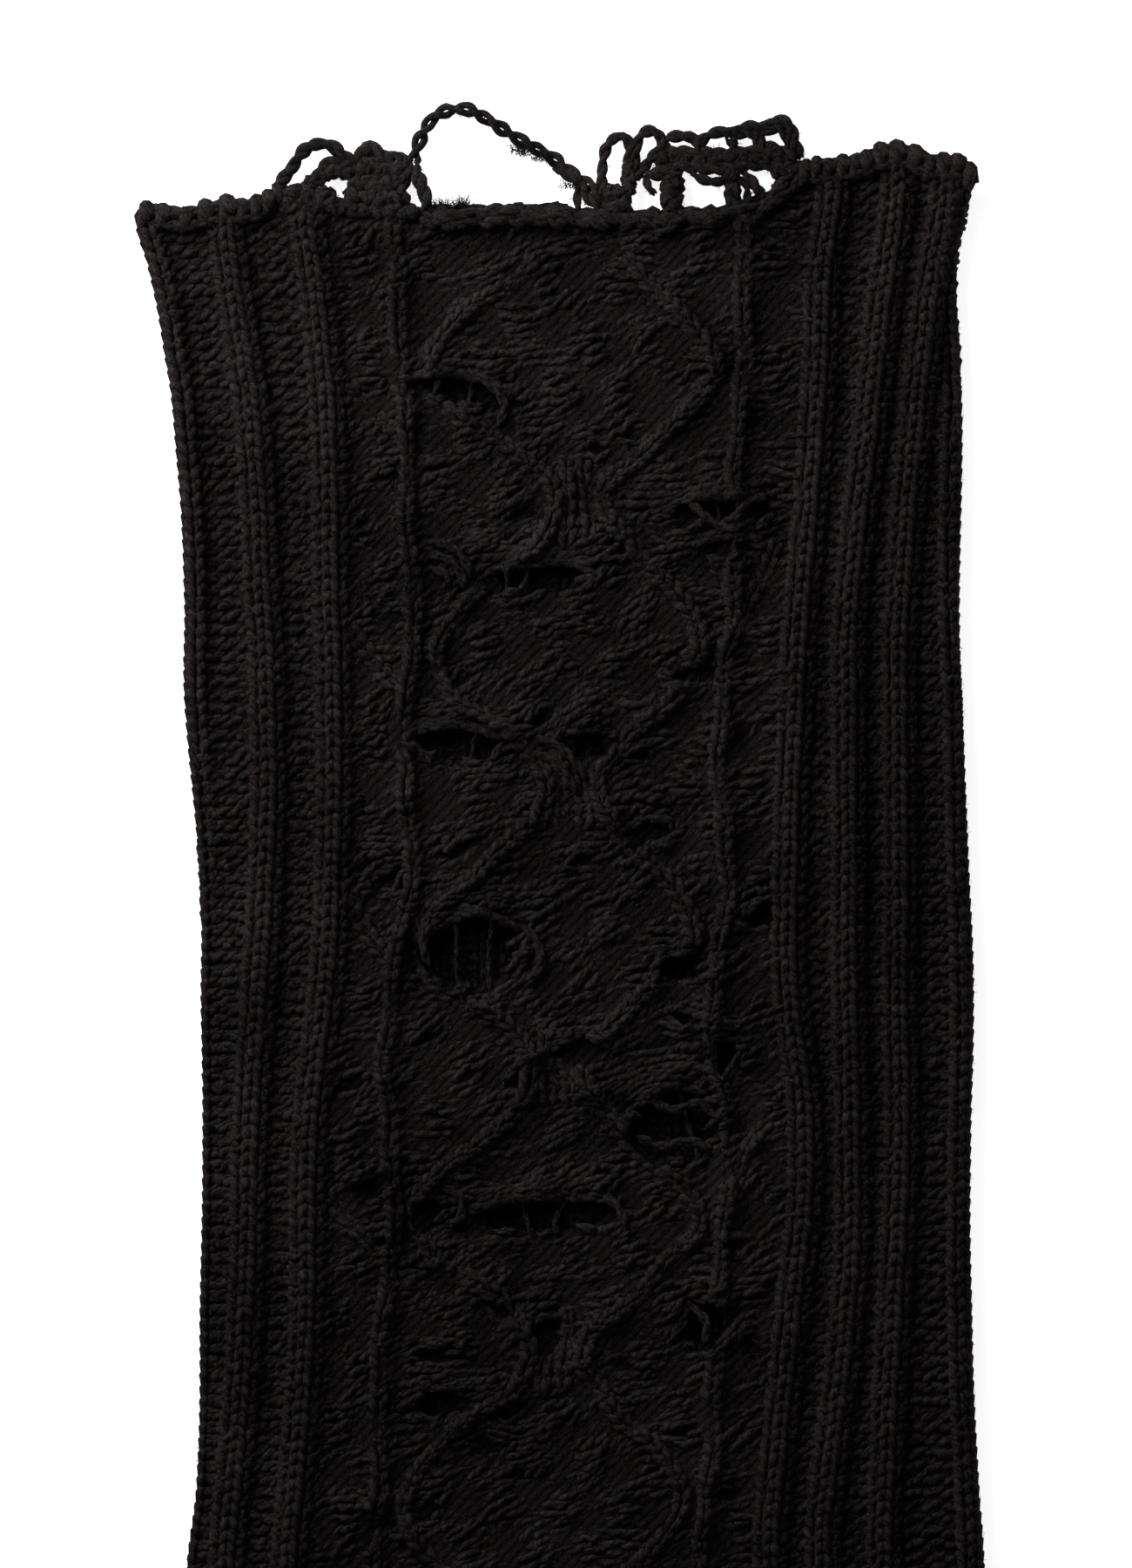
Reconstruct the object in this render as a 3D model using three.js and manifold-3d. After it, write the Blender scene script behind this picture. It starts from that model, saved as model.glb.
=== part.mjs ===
// A chunky ribbed wool leg warmer, laid flat. It is a tube with ribs down both sides and a lace panel
// down the front, torn into holes, with broken and looped stitches along the middle of its top edge.
// Millimetres. X runs across the leg, Y up towards the frayed top, Z up from the surface it lies on.

import * as THREE from 'three';
import { mergeVertices } from 'three/addons/utils/BufferGeometryUtils.js';
import Module from 'manifold-3d';

const wasm = await Module();
wasm.setup();

// Driving dimensions
const LENGTH = 450;
const SEAM_GAP = 0.3;
const BACK_THICKNESS = 3.6;
const WALL = 2.6;
const LACE_WALL = 2.0;
const FOLD_RADIUS = 3.4;
const FOLD_LIP = 0.5;
const EDGE_WIDTH = 4;
const ROLL_THICKNESS = 5;

// Heights of the two layers of cloth that lie on each other
const FRONT_INSIDE = BACK_THICKNESS + SEAM_GAP;
const FRONT_OUTSIDE = FRONT_INSIDE + WALL;
const TOP_Y = LENGTH / 2;

// Rows of the cloth: s is the distance below the tip of the highest loop
const STRAIGHT_FROM = 60;
const SLOPING_ROWS = 5;
const NOMINAL_TOP = 27;
const FRONT_ROW_STEP = 9;
const BACK_ROW_STEP = 18;
const CLOTH_END = LENGTH - EDGE_WIDTH - SEAM_GAP;

// Columns of the cloth: the least distance between two, and every how many one goes on inside
const NEAREST_COLUMNS = 0.35;
const FRONT_INSIDE_EVERY = 5;
const WHOLE_ROWS = 3;
const BACK_INSIDE_EVERY = 4;
const BACK_SHARES = [0, 0.008, 0.024, 0.2, 0.36, 0.48, 0.6, 0.7, 0.8, 0.9, 0.976, 0.992, 1];
const BACK_FLAT_BELOW = 0.15;

// Rings of the edge bands, and the beads of a bound-off edge, one to a column of stitches
const NEAREST_RINGS = 1.2;
const BEAD_RING_STEP = 1.5;
const STRIP_RING_STEP = 6;
const BEAD_PITCH = 4.4;
const BEAD_HEIGHT = 1.3;
const BEAD_DRIFT = { amount: 0.7, length: 7 };
const HEM_STEP = 12;
const HEM_INSET = 0.6;
const HEM_RISE = 1;
const BAND_END_SHARE = 0.72;
const BAND_FOOT = { flat: 0.12, round: 0.3 };

// Stations down the leg: the folded edges and the middle of each rib across it
const STATION_COLUMNS = ['s', 'left', 'l0', 'l1', 'l2', 'l3', 'r3', 'r2', 'r1', 'r0', 'rf', 'right'];
const STATIONS = table(STATION_COLUMNS, [
  [8, -91.8, -88.8, -73.8, -56.4, -36.8, 41.2, 59.6, 73.8, 84.8, 88.2, 89.6],
  [14, -92.2, -89.2, -73.8, -56.4, -36.8, 41.2, 59.4, 73.6, 84.4, 88.4, 90.1],
  [25, -93.1, -90.0, -73.4, -55.8, -36.6, 40.9, 58.8, 72.9, 83.4, 86.6, 87.8],
  [35, -90.4, -87.4, -72.2, -54.2, -35.7, 39.9, 57.2, 71.3, 81.4, 84.8, 86.0],
  [54, -86.8, -83.8, -69.4, -52.2, -34.9, 39.1, 56.4, 69.0, 79.0, 84.6, 86.6],
  [73, -84.4, -81.7, -67.1, -50.9, -34.4, 38.4, 55.3, 67.1, 77.0, 84.6, 87.2],
  [109, -82.3, -79.6, -65.2, -50.4, -32.5, 37.1, 52.4, 63.1, 74.1, 84.2, 86.6],
  [130, -82.3, -79.4, -64.2, -49.8, -34.4, 34.6, 51.1, 62.7, 73.7, 85.2, 87.2],
  [168, -79.0, -74.6, -64.6, -50.2, -32.9, 35.7, 49.8, 62.7, 73.9, 86.0, 88.7],
  [196, -78.7, -74.2, -66.3, -51.9, -38.0, 32.9, 50.0, 62.7, 73.7, 86.8, 89.7],
  [225, -78.3, -74.4, -68.0, -55.1, -37.2, 35.2, 53.2, 63.3, 74.1, 86.3, 89.1],
  [263, -78.9, -75.6, -69.0, -55.7, -38.6, 34.2, 50.4, 62.3, 72.4, 86.2, 89.3],
  [301, -79.6, -77.6, -71.6, -58.1, -40.7, 31.4, 46.6, 58.0, 70.7, 87.6, 90.8],
  [319, -81.7, -79.4, -73.2, -59.7, -41.8, 30.4, 45.6, 57.0, 70.3, 88.4, 92.0],
  [380, -84.0, -81.2, -74.6, -61.0, -42.0, 32.0, 48.0, 60.0, 72.0, 88.8, 93.1],
  [450, -85.0, -81.8, -75.0, -61.6, -42.6, 33.6, 50.0, 62.0, 74.6, 88.6, 92.0],
]);

// Ribs: width at the foot, height, and the distance down over which a rib rolls out of sight or in
const RIBS = [
  { name: 'l0', width: 5.0, raise: 2.0, fadeOut: [125, 165] },
  { name: 'l1', width: 8.2, raise: 2.2 },
  { name: 'l2', width: 7.4, raise: 2.2 },
  { name: 'r2', width: 7.4, raise: 2.1 },
  { name: 'r1', width: 7.8, raise: 2.2 },
  { name: 'r0', width: 7.6, raise: 2.2 },
];
const FOLD_RIB = { name: 'rf', width: 3.6, raise: 1.5, fadeIn: [45, 90] };
const CROWN_SHARE = 0.5;

// Lace panel: ridges that open and close like a chain of diamonds between two narrow columns
const LACE_SIDES = { width: 4.2, raise: 1.9 };
const DIAMOND = {
  repeat: 61.75, widestAt: 57.4, narrow: 5.2, inset: 5.6, shift: 1.6, width: 4.6, raise: 1.6,
};
const CENTRE_COLUMN = { width: 4.2, raise: 1.5 };
const RIDGES_FROM = [30, 42];
const RIDGES_TO = [418, 436];

// Top edge of the front and of the back: x across, and s of the edge there
const TOP_COLUMNS = ['x', 's'];
const FRONT_TOP = table(TOP_COLUMNS, [
  [-94, 22.4], [-88, 22.1], [-81, 22.7], [-74, 20.8], [-67, 20.8], [-62, 19.4], [-54, 21.4], [-30, 22.4],
  [-8, 21.8], [12, 22.8], [30, 22.2], [40, 21.2], [46, 18.0], [52, 13.6], [57, 12.8], [62, 12.0], [67, 10.8],
  [71, 9.4], [76, 9.8], [80, 11.6], [86, 11.4], [90, 13.6], [94, 17.0],
]);
const BACK_TOP = table(TOP_COLUMNS, [
  [-94, 22.4], [-66, 22.0], [-30, 21.6], [-8, 21.2], [12, 23.6], [36, 24.0], [48, 19.0], [60, 14.4],
  [94, 13.4],
]);
const LEFT_ROLL = { from: -92.2, to: -63.6 };
const FRAYED_STRIP = { from: -63.2, to: 53.4, thickness: 2.3 };
const RIGHT_ROLL = { from: 53.8, to: 89.2 };
const BACK_ROLL = { from: -90.6, to: 87.6 };

// Holes torn through the lace: x and s of the middle, length, height, and slope in degrees
const HOLE_COLUMNS = ['x', 's', 'length', 'height', 'slope'];
const HOLES = table(HOLE_COLUMNS, [
  [-20.3, 62.8, 23.5, 6.4, -12],
  [34.8, 88.9, 22.0, 6.6, 4],
  [36.1, 96.9, 13.2, 4.4, 8],
  [-4.8, 103.6, 21.6, 5.8, 3],
  [29.6, 124.3, 7.8, 3.2, 10],
  [-23.0, 139.6, 19.2, 7.8, -6],
  [5.7, 140.0, 9.6, 5.6, 0],
  [18.4, 159.2, 8.4, 3.8, 8],
  [-37.8, 169.8, 5.4, 3.0, 12],
  [-19.8, 184.4, 21.6, 16.2, 4],
  [43.4, 177.2, 5.8, 3.2, 20],
  [26.0, 188.2, 8.6, 4.8, 10],
  [3.8, 206.6, 9.4, 3.8, 5],
  [35.2, 208.0, 4.2, 9.0, 0],
  [24.7, 222.4, 19.8, 14.6, 12],
  [-2.9, 242.2, 32.0, 7.8, 3],
  [-29.8, 242.2, 4.4, 6.6, 0],
  [-41.4, 236.0, 5.6, 3.2, 15],
  [31.4, 266.2, 7.6, 8.2, 10],
  [-3.2, 268.4, 4.9, 5.6, 0],
  [-26.6, 283.6, 9.4, 4.0, 8],
  [-43.0, 312.0, 3.2, 7.6, 0],
  [-18.0, 332.0, 17.0, 7.4, -5],
  [18.0, 350.0, 12.0, 5.4, 8],
  [-6.0, 367.0, 20.0, 6.0, 4],
  [-22.0, 394.0, 15.0, 6.8, -5],
]);
const HOLE_CORNERS = 10;
const HOLE_UNEVEN = { share: 0.07, lobes: 3 };
const HOLE_CUT_DEPTH = 4 * WALL;

// Broken and looped yarn at the top edge: each path is a row of places [x, s] from root to root
const STRANDS = [
  { radius: 1.4, path: [[-60.4, 22.6], [-60.2, 17.0], [-57.6, 12.2], [-55.5, 9.9], [-52.8, 8.8], [-50.2, 9.1],
    [-48.1, 10.6], [-46.4, 12.2], [-45.2, 15.4]] },
  { radius: 1.4, path: [[-56.4, 22.6], [-54.7, 17.9], [-53.4, 14.6], [-51.1, 12.8], [-48.1, 12.6],
    [-45.0, 13.7], [-43.4, 17.0], [-44.6, 22.6]] },
  { radius: 1.4, path: [[-59.4, 19.2], [-54.6, 17.0], [-49.8, 16.4], [-45.4, 17.4], [-41.2, 16.4],
    [-37.6, 17.8]] },
  { radius: 1.5, path: [[-46.6, 23.6], [-45.0, 15.6], [-44.8, 11.6], [-43.7, 9.8], [-42.0, 9.1], [-40.1, 10.2],
    [-37.8, 12.4], [-35.8, 14.6], [-35.4, 18.0]] },
  { radius: 1.5, path: [[-39.4, 12.6], [-37.6, 11.4], [-36.3, 11.0], [-34.8, 12.0], [-34.8, 14.6],
    [-36.1, 16.6], [-39.6, 17.8], [-40.6, 23.6]] },
  { radius: 1.4, path: [[-42.4, 12.6], [-41.8, 17.4], [-41.4, 24.0]] },
  { radius: 1.4, path: [[-48.6, 18.4], [-50.2, 21.0], [-49.6, 24.4]] },
  { radius: 1.5, path: [[-33.2, 24.0], [-35.0, 20.6], [-35.4, 16.4], [-33.6, 13.2], [-32.8, 11.8],
    [-30.9, 15.6], [-29.5, 20.1], [-29.0, 24.4]] },
  { radius: 1.4, path: [[-32.8, 13.2], [-32.5, 9.9], [-30.8, 7.4], [-29.3, 4.8], [-26.2, 2.4], [-23.4, 1.6],
    [-20.7, 1.4], [-18.4, 2.1], [-15.6, 3.8], [-12.7, 5.7]] },
  { radius: 1.7, path: [[-16.4, 3.2], [-12.7, 5.7], [-9.3, 7.8], [-6.1, 9.5], [-3.0, 11.2], [-0.2, 13.1],
    [2.5, 15.6], [5.1, 17.7], [7.8, 19.8], [9.9, 24.4]] },
  { radius: 1.2, path: [[2.6, 15.8], [3.1, 18.6], [3.0, 24.6]] },
  { radius: 1.4, path: [[10.5, 25.0], [9.0, 19.8], [9.7, 16.5], [9.1, 13.7], [9.3, 10.8], [10.5, 8.6],
    [12.5, 7.3], [14.2, 8.4], [14.9, 10.9], [14.5, 14.6], [14.1, 20.3], [13.1, 25.0]] },
  { radius: 1.4, path: [[16.2, 25.0], [15.8, 18.4], [16.1, 13.7], [16.3, 9.5], [17.4, 7.0], [19.6, 5.9],
    [21.5, 6.9], [21.5, 8.9], [20.1, 11.4], [18.8, 13.7], [17.7, 15.4], [15.2, 18.0]] },
  { radius: 1.5, path: [[21.2, 8.6], [24.7, 7.0], [29.3, 7.7], [33.3, 6.1], [38.2, 5.5], [42.9, 4.7],
    [47.1, 3.7], [49.4, 4.8], [50.7, 6.6], [50.6, 8.6], [51.4, 10.8]] },
  { radius: 1.6, path: [[20.6, 14.6], [21.3, 11.8], [23.9, 10.7], [29.6, 10.9], [36.5, 11.1], [43.1, 9.9],
    [46.2, 9.4], [49.0, 10.7], [51.4, 13.0]] },
  { radius: 1.6, path: [[16.9, 16.3], [22.6, 15.4], [25.8, 14.0], [32.9, 14.2], [40.1, 13.8], [43.5, 12.9],
    [46.4, 13.5], [49.8, 15.4]] },
  { radius: 1.2, path: [[27.8, 15.2], [30.4, 16.9], [32.1, 18.0], [34.7, 18.0], [36.0, 15.2]] },
  { radius: 1.2, path: [[18.4, 15.8], [19.4, 18.6], [20.8, 20.2], [22.4, 18.8], [23.0, 15.8]] },
  { radius: 1.4, path: [[20.8, 20.0], [21.2, 22.0], [21.0, 25.0]] },
  { radius: 1.5, path: [[23.6, 14.8], [24.2, 19.6], [23.9, 25.0]] },
  { radius: 1.4, path: [[27.2, 14.8], [26.4, 19.6], [26.8, 25.0]] },
  { radius: 1.6, path: [[36.4, 14.6], [36.6, 19.0], [36.2, 24.8]] },
  { radius: 1.4, path: [[39.4, 24.6], [39.2, 20.6], [38.0, 16.8], [36.8, 14.6]] },
  { radius: 1.4, path: [[39.3, 14.4], [41.8, 16.3], [43.3, 18.4], [44.6, 20.2]] },
  { radius: 0.9, path: [[-26.2, 24.6], [-26.4, 22.4], [-25.8, 20.9]] },
  { radius: 0.9, path: [[-22.0, 24.4], [-21.4, 22.0], [-20.8, 20.2]] },
];
const STRAND_SIDES = 4;
const STRAND_TIP_Z = 2.1;
const STRAND_FALLS = [21, 13];
const STRAND_CLEAR = 0.3;
const STRAND_ROOT_CLEAR = 0.1;
const STRAND_STEPS_A_POINT = 1.2;
const STRAND_SECTION_SHARE = 1.12;

// Vertices nearer than this are one, before a solid is cut or joined
const MERGE_WITHIN = 1e-4;

const WOOL = {
  ribs: { color: 0x231e1d, roughness: 0.95, metalness: 0 },
  back: { color: 0x1e1a19, roughness: 0.95, metalness: 0 },
  edges: { color: 0x262120, roughness: 0.95, metalness: 0 },
  frayed: { color: 0x1b1716, roughness: 0.95, metalness: 0 },
};

function table(columns, rows) {
  return rows.map((row) => Object.fromEntries(columns.map((name, i) => [name, row[i]])));
}

// Smooth reading of one column of a table at a place along its key column
function read(rows, key, name, at) {
  const last = rows.length - 1;
  const above = rows.findIndex((row) => row[key] > at);
  const j = above < 0 ? last - 1 : Math.max(0, above - 1);
  const slope = (k) => {
    const a = rows[Math.max(0, k - 1)];
    const b = rows[Math.min(last, k + 1)];
    return (b[name] - a[name]) / (b[key] - a[key]);
  };
  const span = rows[j + 1][key] - rows[j][key];
  const t = THREE.MathUtils.clamp((at - rows[j][key]) / span, 0, 1);
  const rest = t * t * (3 - 2 * t);
  const start = rows[j][name] + slope(j) * span * t;
  const end = rows[j + 1][name] - slope(j + 1) * span * (1 - t);
  return start * (1 - rest) + end * rest;
}

function fade(range, at) {
  return THREE.MathUtils.smoothstep(at, range[0], range[1]);
}

function topEdge(rows, x) {
  return read(rows, 'x', 's', x);
}

// How open the diamonds are at s: 1 at their widest and 0 where the ridges close up
function opening(s) {
  return 0.5 + 0.5 * Math.cos((2 * Math.PI * (s - DIAMOND.widestAt)) / DIAMOND.repeat);
}

// Height of the front's outer face before ribs, which rounds down at the folds
function foldHeight(x, left, right, wall) {
  const inwards = Math.min(x - left, right - x, FOLD_RADIUS) / FOLD_RADIUS;
  const round = Math.sqrt(Math.max(0, 1 - (1 - inwards) ** 2));
  return FRONT_INSIDE + FOLD_LIP + (wall - FOLD_LIP) * round;
}

// The columns of the front's outer face at s, from the left fold to the right one
function frontColumns(s) {
  const place = (name) => read(STATIONS, 's', name, s);
  const left = place('left');
  const right = place('right');
  const rib = ({ name, width, raise, fadeOut }) => {
    const middle = place(name);
    const shown = raise * (fadeOut ? 1 - fade(fadeOut, s) : 1);
    const foot = width / 2;
    const crown = foot * CROWN_SHARE;
    return [[middle - foot, 0], [middle - crown, shown], [middle + crown, shown], [middle + foot, 0]];
  };
  const ridge = (middle, { width, raise }, shown) =>
    [[middle - width / 2, 0], [middle, raise * shown], [middle + width / 2, 0]];
  const l3 = place('l3');
  const r3 = place('r3');
  const middle = (l3 + r3) / 2 + DIAMOND.shift;
  const open = opening(s);
  const spread = (side) => THREE.MathUtils.lerp(DIAMOND.narrow, side - DIAMOND.inset, open);
  const ridges = fade(RIDGES_FROM, s) * (1 - fade(RIDGES_TO, s));
  const lace = [
    ...ridge(l3, LACE_SIDES, 1),
    ...ridge(middle - spread(middle - l3), DIAMOND, ridges),
    ...ridge(middle, CENTRE_COLUMN, ridges * (1 - open) ** 2),
    ...ridge(middle + spread(r3 - middle), DIAMOND, ridges),
    ...ridge(r3, LACE_SIDES, 1),
  ];
  const foldRib = ridge(place(FOLD_RIB.name), FOLD_RIB, fade(FOLD_RIB.fadeIn, s));
  const cloth = (points, wall) => points.map(([x, raise]) => ({ x, raise, wall }));
  const columns = [
    ...cloth([[left, 0], [left + FOLD_RADIUS / 4, 0]], WALL),
    ...cloth(RIBS.slice(0, 3).flatMap(rib), WALL),
    ...cloth(lace, LACE_WALL),
    ...cloth(RIBS.slice(3).flatMap(rib), WALL),
    ...cloth(foldRib, WALL),
    ...cloth([[right - FOLD_RADIUS / 4, 0], [right, 0]], WALL),
  ];
  for (let i = 1; i < columns.length; i += 1) {
    columns[i].x = Math.max(columns[i].x, columns[i - 1].x + NEAREST_COLUMNS);
  }
  columns.at(-1).x = right;
  for (let i = columns.length - 2; i > 0; i -= 1) {
    columns[i].x = Math.min(columns[i].x, columns[i + 1].x - NEAREST_COLUMNS);
  }
  return columns.map(({ x, raise, wall }) => [x, foldHeight(x, left, right, wall) + raise]);
}

// The rows of a panel: s of each row at x, where the first rows follow the panel's top edge
function rowPlaces(step) {
  const straight = Math.round((CLOTH_END - STRAIGHT_FROM) / step);
  const rows = [];
  for (let j = 0; j < SLOPING_ROWS; j += 1) {
    const share = j / SLOPING_ROWS;
    rows.push((top) => THREE.MathUtils.lerp(top, STRAIGHT_FROM, share));
  }
  for (let j = 0; j <= straight; j += 1) {
    const s = THREE.MathUtils.lerp(STRAIGHT_FROM, CLOTH_END, j / straight);
    rows.push(() => s);
  }
  return rows;
}

// Collects vertices and triangles for one closed solid
class Shell {
  constructor() {
    this.points = [];
    this.faces = [];
  }

  add(x, s, z) {
    this.points.push(x, TOP_Y - s, z);
    return this.points.length / 3 - 1;
  }

  quad(a, b, c, d) {
    this.faces.push(a, b, c, a, c, d);
  }

  // Joins two rows of numbered vertices that may differ in count, matching them by their keys
  zip(upper, lower, turned) {
    let i = 0;
    let j = 0;
    const face = (a, b, c) => this.faces.push(...(turned ? [a, c, b] : [a, b, c]));
    while (i < upper.length - 1 || j < lower.length - 1) {
      const nextUpper = i < upper.length - 1 ? upper[i + 1].key : Infinity;
      const nextLower = j < lower.length - 1 ? lower[j + 1].key : Infinity;
      if (nextUpper <= nextLower) {
        face(upper[i].id, lower[j].id, upper[i + 1].id);
        i += 1;
      } else {
        face(upper[i].id, lower[j].id, lower[j + 1].id);
        j += 1;
      }
    }
  }

  geometry() {
    const geometry = new THREE.BufferGeometry();
    geometry.setAttribute('position', new THREE.Float32BufferAttribute(this.points, 3));
    geometry.setIndex(this.faces);
    return geometry;
  }
}

// A panel of cloth between two faces, each a list of rows of [x, s, z], with the same ends. The
// inner face keeps all its columns only in its last row and in the first ones, which slope.
function panel(outer, inner, innerEvery, facesUp) {
  const shell = new Shell();
  const numbered = (rows, kept) => rows.map((row, j) => row.flatMap(([x, s, z], i) => {
    const whole = j < WHOLE_ROWS || j === rows.length - 1;
    return whole || kept(i, row.length) ? [{ key: i, id: shell.add(x, s, z) }] : [];
  }));
  const outside = numbered(outer, () => true);
  const inside = numbered(inner, (i, count) => i === count - 1 || i % innerEvery === 0);
  for (let j = 0; j < outside.length - 1; j += 1) {
    shell.zip(outside[j], outside[j + 1], !facesUp);
    shell.zip(inside[j], inside[j + 1], facesUp);
    [[0, facesUp], [-1, !facesUp]].forEach(([end, leftWay]) => {
      const a = outside[j].at(end).id;
      const b = outside[j + 1].at(end).id;
      const c = inside[j + 1].at(end).id;
      const d = inside[j].at(end).id;
      if (leftWay) shell.quad(a, d, c, b);
      else shell.quad(a, b, c, d);
    });
  }
  [[0, facesUp], [-1, !facesUp]].forEach(([end, topWay]) => {
    const a = outside.at(end);
    const b = inside.at(end);
    for (let i = 0; i < a.length - 1; i += 1) {
      if (topWay) shell.quad(a[i].id, a[i + 1].id, b[i + 1].id, b[i].id);
      else shell.quad(a[i].id, b[i].id, b[i + 1].id, a[i + 1].id);
    }
  });
  return shell.geometry();
}

function solidOf(geometry) {
  geometry.deleteAttribute('normal');
  geometry.deleteAttribute('uv');
  const merged = mergeVertices(geometry, MERGE_WITHIN);
  return new wasm.Manifold(new wasm.Mesh({
    numProp: 3,
    vertProperties: new Float32Array(merged.getAttribute('position').array),
    triVerts: new Uint32Array(merged.getIndex().array),
  }));
}

function geometryOf(solid) {
  const { vertProperties, triVerts } = solid.getMesh();
  const geometry = new THREE.BufferGeometry();
  geometry.setAttribute('position', new THREE.BufferAttribute(vertProperties, 3));
  geometry.setIndex(new THREE.BufferAttribute(triVerts, 1));
  return geometry;
}

// A hole's cutter: an outline that is blunt along its length and a little uneven, through the wall
function holeCutter({ x, s, length, height, slope }, turn) {
  const outline = [];
  for (let i = 0; i < HOLE_CORNERS; i += 1) {
    const angle = (2 * Math.PI * i) / HOLE_CORNERS;
    const uneven = 1 + HOLE_UNEVEN.share * Math.sin(HOLE_UNEVEN.lobes * angle + turn);
    outline.push(new THREE.Vector2(
      (length / 2) * Math.cos(angle) * uneven,
      (height / 2) * Math.sin(angle) * uneven,
    ));
  }
  const cut = { depth: HOLE_CUT_DEPTH, bevelEnabled: false, steps: 1 };
  const cutter = new THREE.ExtrudeGeometry(new THREE.Shape(outline), cut);
  cutter.rotateZ(THREE.MathUtils.degToRad(slope));
  cutter.translate(x, TOP_Y - s, FRONT_INSIDE - WALL);
  return solidOf(cutter);
}

// One row of the front's outer face, where each column is read at the s that the row has there
function frontRow(place) {
  return frontColumns(place(NOMINAL_TOP)).map(([x], i) => {
    const s = place(topEdge(FRONT_TOP, x) + EDGE_WIDTH + SEAM_GAP);
    const [across, z] = frontColumns(s)[i];
    return [across, s, z];
  });
}

function frontPanel() {
  const rows = rowPlaces(FRONT_ROW_STEP).map(frontRow);
  const inside = rows.map((row) => row.map(([x, s]) => [x, s, FRONT_INSIDE]));
  const cloth = solidOf(panel(rows, inside, FRONT_INSIDE_EVERY, true));
  const torn = HOLES.map(holeCutter).reduce((left, hole) => left.subtract(hole), cloth);
  return geometryOf(torn);
}

// One row of the back's underside: flat where it lies, and rounding up at the folds
function backRow(place) {
  const nominal = place(NOMINAL_TOP);
  const fold = (name, s) => read(STATIONS, 's', name, s);
  return BACK_SHARES.map((share) => {
    const x = THREE.MathUtils.lerp(fold('left', nominal), fold('right', nominal), share);
    const s = place(topEdge(BACK_TOP, x) + EDGE_WIDTH + SEAM_GAP);
    const [left, right] = [fold('left', s), fold('right', s)];
    const across = THREE.MathUtils.lerp(left, right, share);
    const inwards = Math.min(across - left, right - across, BACK_THICKNESS) / BACK_THICKNESS;
    const round = Math.sqrt(Math.max(0, 1 - (1 - inwards) ** 2));
    const z = (BACK_THICKNESS - FOLD_LIP) * (1 - round);
    return [across, s, z < BACK_FLAT_BELOW ? 0 : z];
  });
}

function backPanel() {
  const rows = rowPlaces(BACK_ROW_STEP).map(backRow);
  const inside = rows.map((row) => row.map(([x, s]) => [x, s, BACK_THICKNESS]));
  return panel(rows, inside, BACK_INSIDE_EVERY, false);
}

// How far a bound-off edge swells at x, from 0 between two beads to 1 on top of one
function bead(x) {
  return Math.abs(Math.sin((Math.PI * x) / BEAD_PITCH + BEAD_DRIFT.amount * Math.sin(x / BEAD_DRIFT.length)));
}

// A rounded band of the edge's width along a line of [x, s], between two heights, with or without beads
function band(line, bottom, top, { flatBelow = false, beads = false }) {
  const height = top - bottom;
  const foot = flatBelow ? BAND_FOOT.flat : BAND_FOOT.round;
  const section = [[foot, 0], [0, 0.35], [0, 0.65], [0.3, 1], [0.7, 1], [1, 0.65], [1, 0.35], [1 - foot, 0]];
  const shell = new Shell();
  const last = line.length - 1;
  const rings = line.map(([x, s], k) => {
    const small = k === 0 || k === last ? BAND_END_SHARE : 1;
    return section.map(([u, v]) => {
      const shrunk = flatBelow ? v * small : 0.5 + (v - 0.5) * small;
      const swollen = beads ? BEAD_HEIGHT * bead(x) * (1 - u) ** 2 : 0;
      const across = s + EDGE_WIDTH * (0.5 + (u - 0.5) * small) - swollen * small;
      return shell.add(x, across, bottom + height * shrunk);
    });
  });
  const count = section.length;
  for (let k = 0; k < last; k += 1) {
    for (let i = 0; i < count; i += 1) {
      const n = (i + 1) % count;
      shell.quad(rings[k][i], rings[k][n], rings[k + 1][n], rings[k + 1][i]);
    }
  }
  for (let i = 1; i < count - 1; i += 1) {
    shell.faces.push(rings[0][0], rings[0][i + 1], rings[0][i]);
    shell.faces.push(rings[last][0], rings[last][i], rings[last][i + 1]);
  }
  return shell.geometry();
}

// A line of [x, s] past a panel's top row, through the corners of that row and between them
function edgeLine(topRow, { from, to }, step) {
  const corners = topRow.map(([x, s]) => ({ x, s: s - EDGE_WIDTH - SEAM_GAP }));
  const onEdge = (x) => {
    const k = Math.max(1, corners.findIndex((corner) => corner.x >= x));
    const share = (x - corners[k - 1].x) / (corners[k].x - corners[k - 1].x);
    return THREE.MathUtils.lerp(corners[k - 1].s, corners[k].s, share);
  };
  const places = [from];
  corners.forEach(({ x }) => {
    if (x > places.at(-1) + NEAREST_RINGS && x < to - NEAREST_RINGS) places.push(x);
  });
  const parted = [...places, to].flatMap((x, k, all) => {
    if (k === 0) return [x];
    const count = Math.max(1, Math.round((x - all[k - 1]) / step));
    return Array.from({ length: count }, (_, i) => THREE.MathUtils.lerp(all[k - 1], x, (i + 1) / count));
  });
  return parted.map((x) => [x, onEdge(x)]);
}

function hemLine() {
  const from = read(STATIONS, 's', 'left', LENGTH) + HEM_INSET;
  const to = read(STATIONS, 's', 'right', LENGTH) - HEM_INSET;
  const steps = Math.round((to - from) / HEM_STEP);
  return Array.from({ length: steps + 1 }, (_, k) => [
    THREE.MathUtils.lerp(from, to, k / steps), LENGTH - EDGE_WIDTH,
  ]);
}

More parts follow.
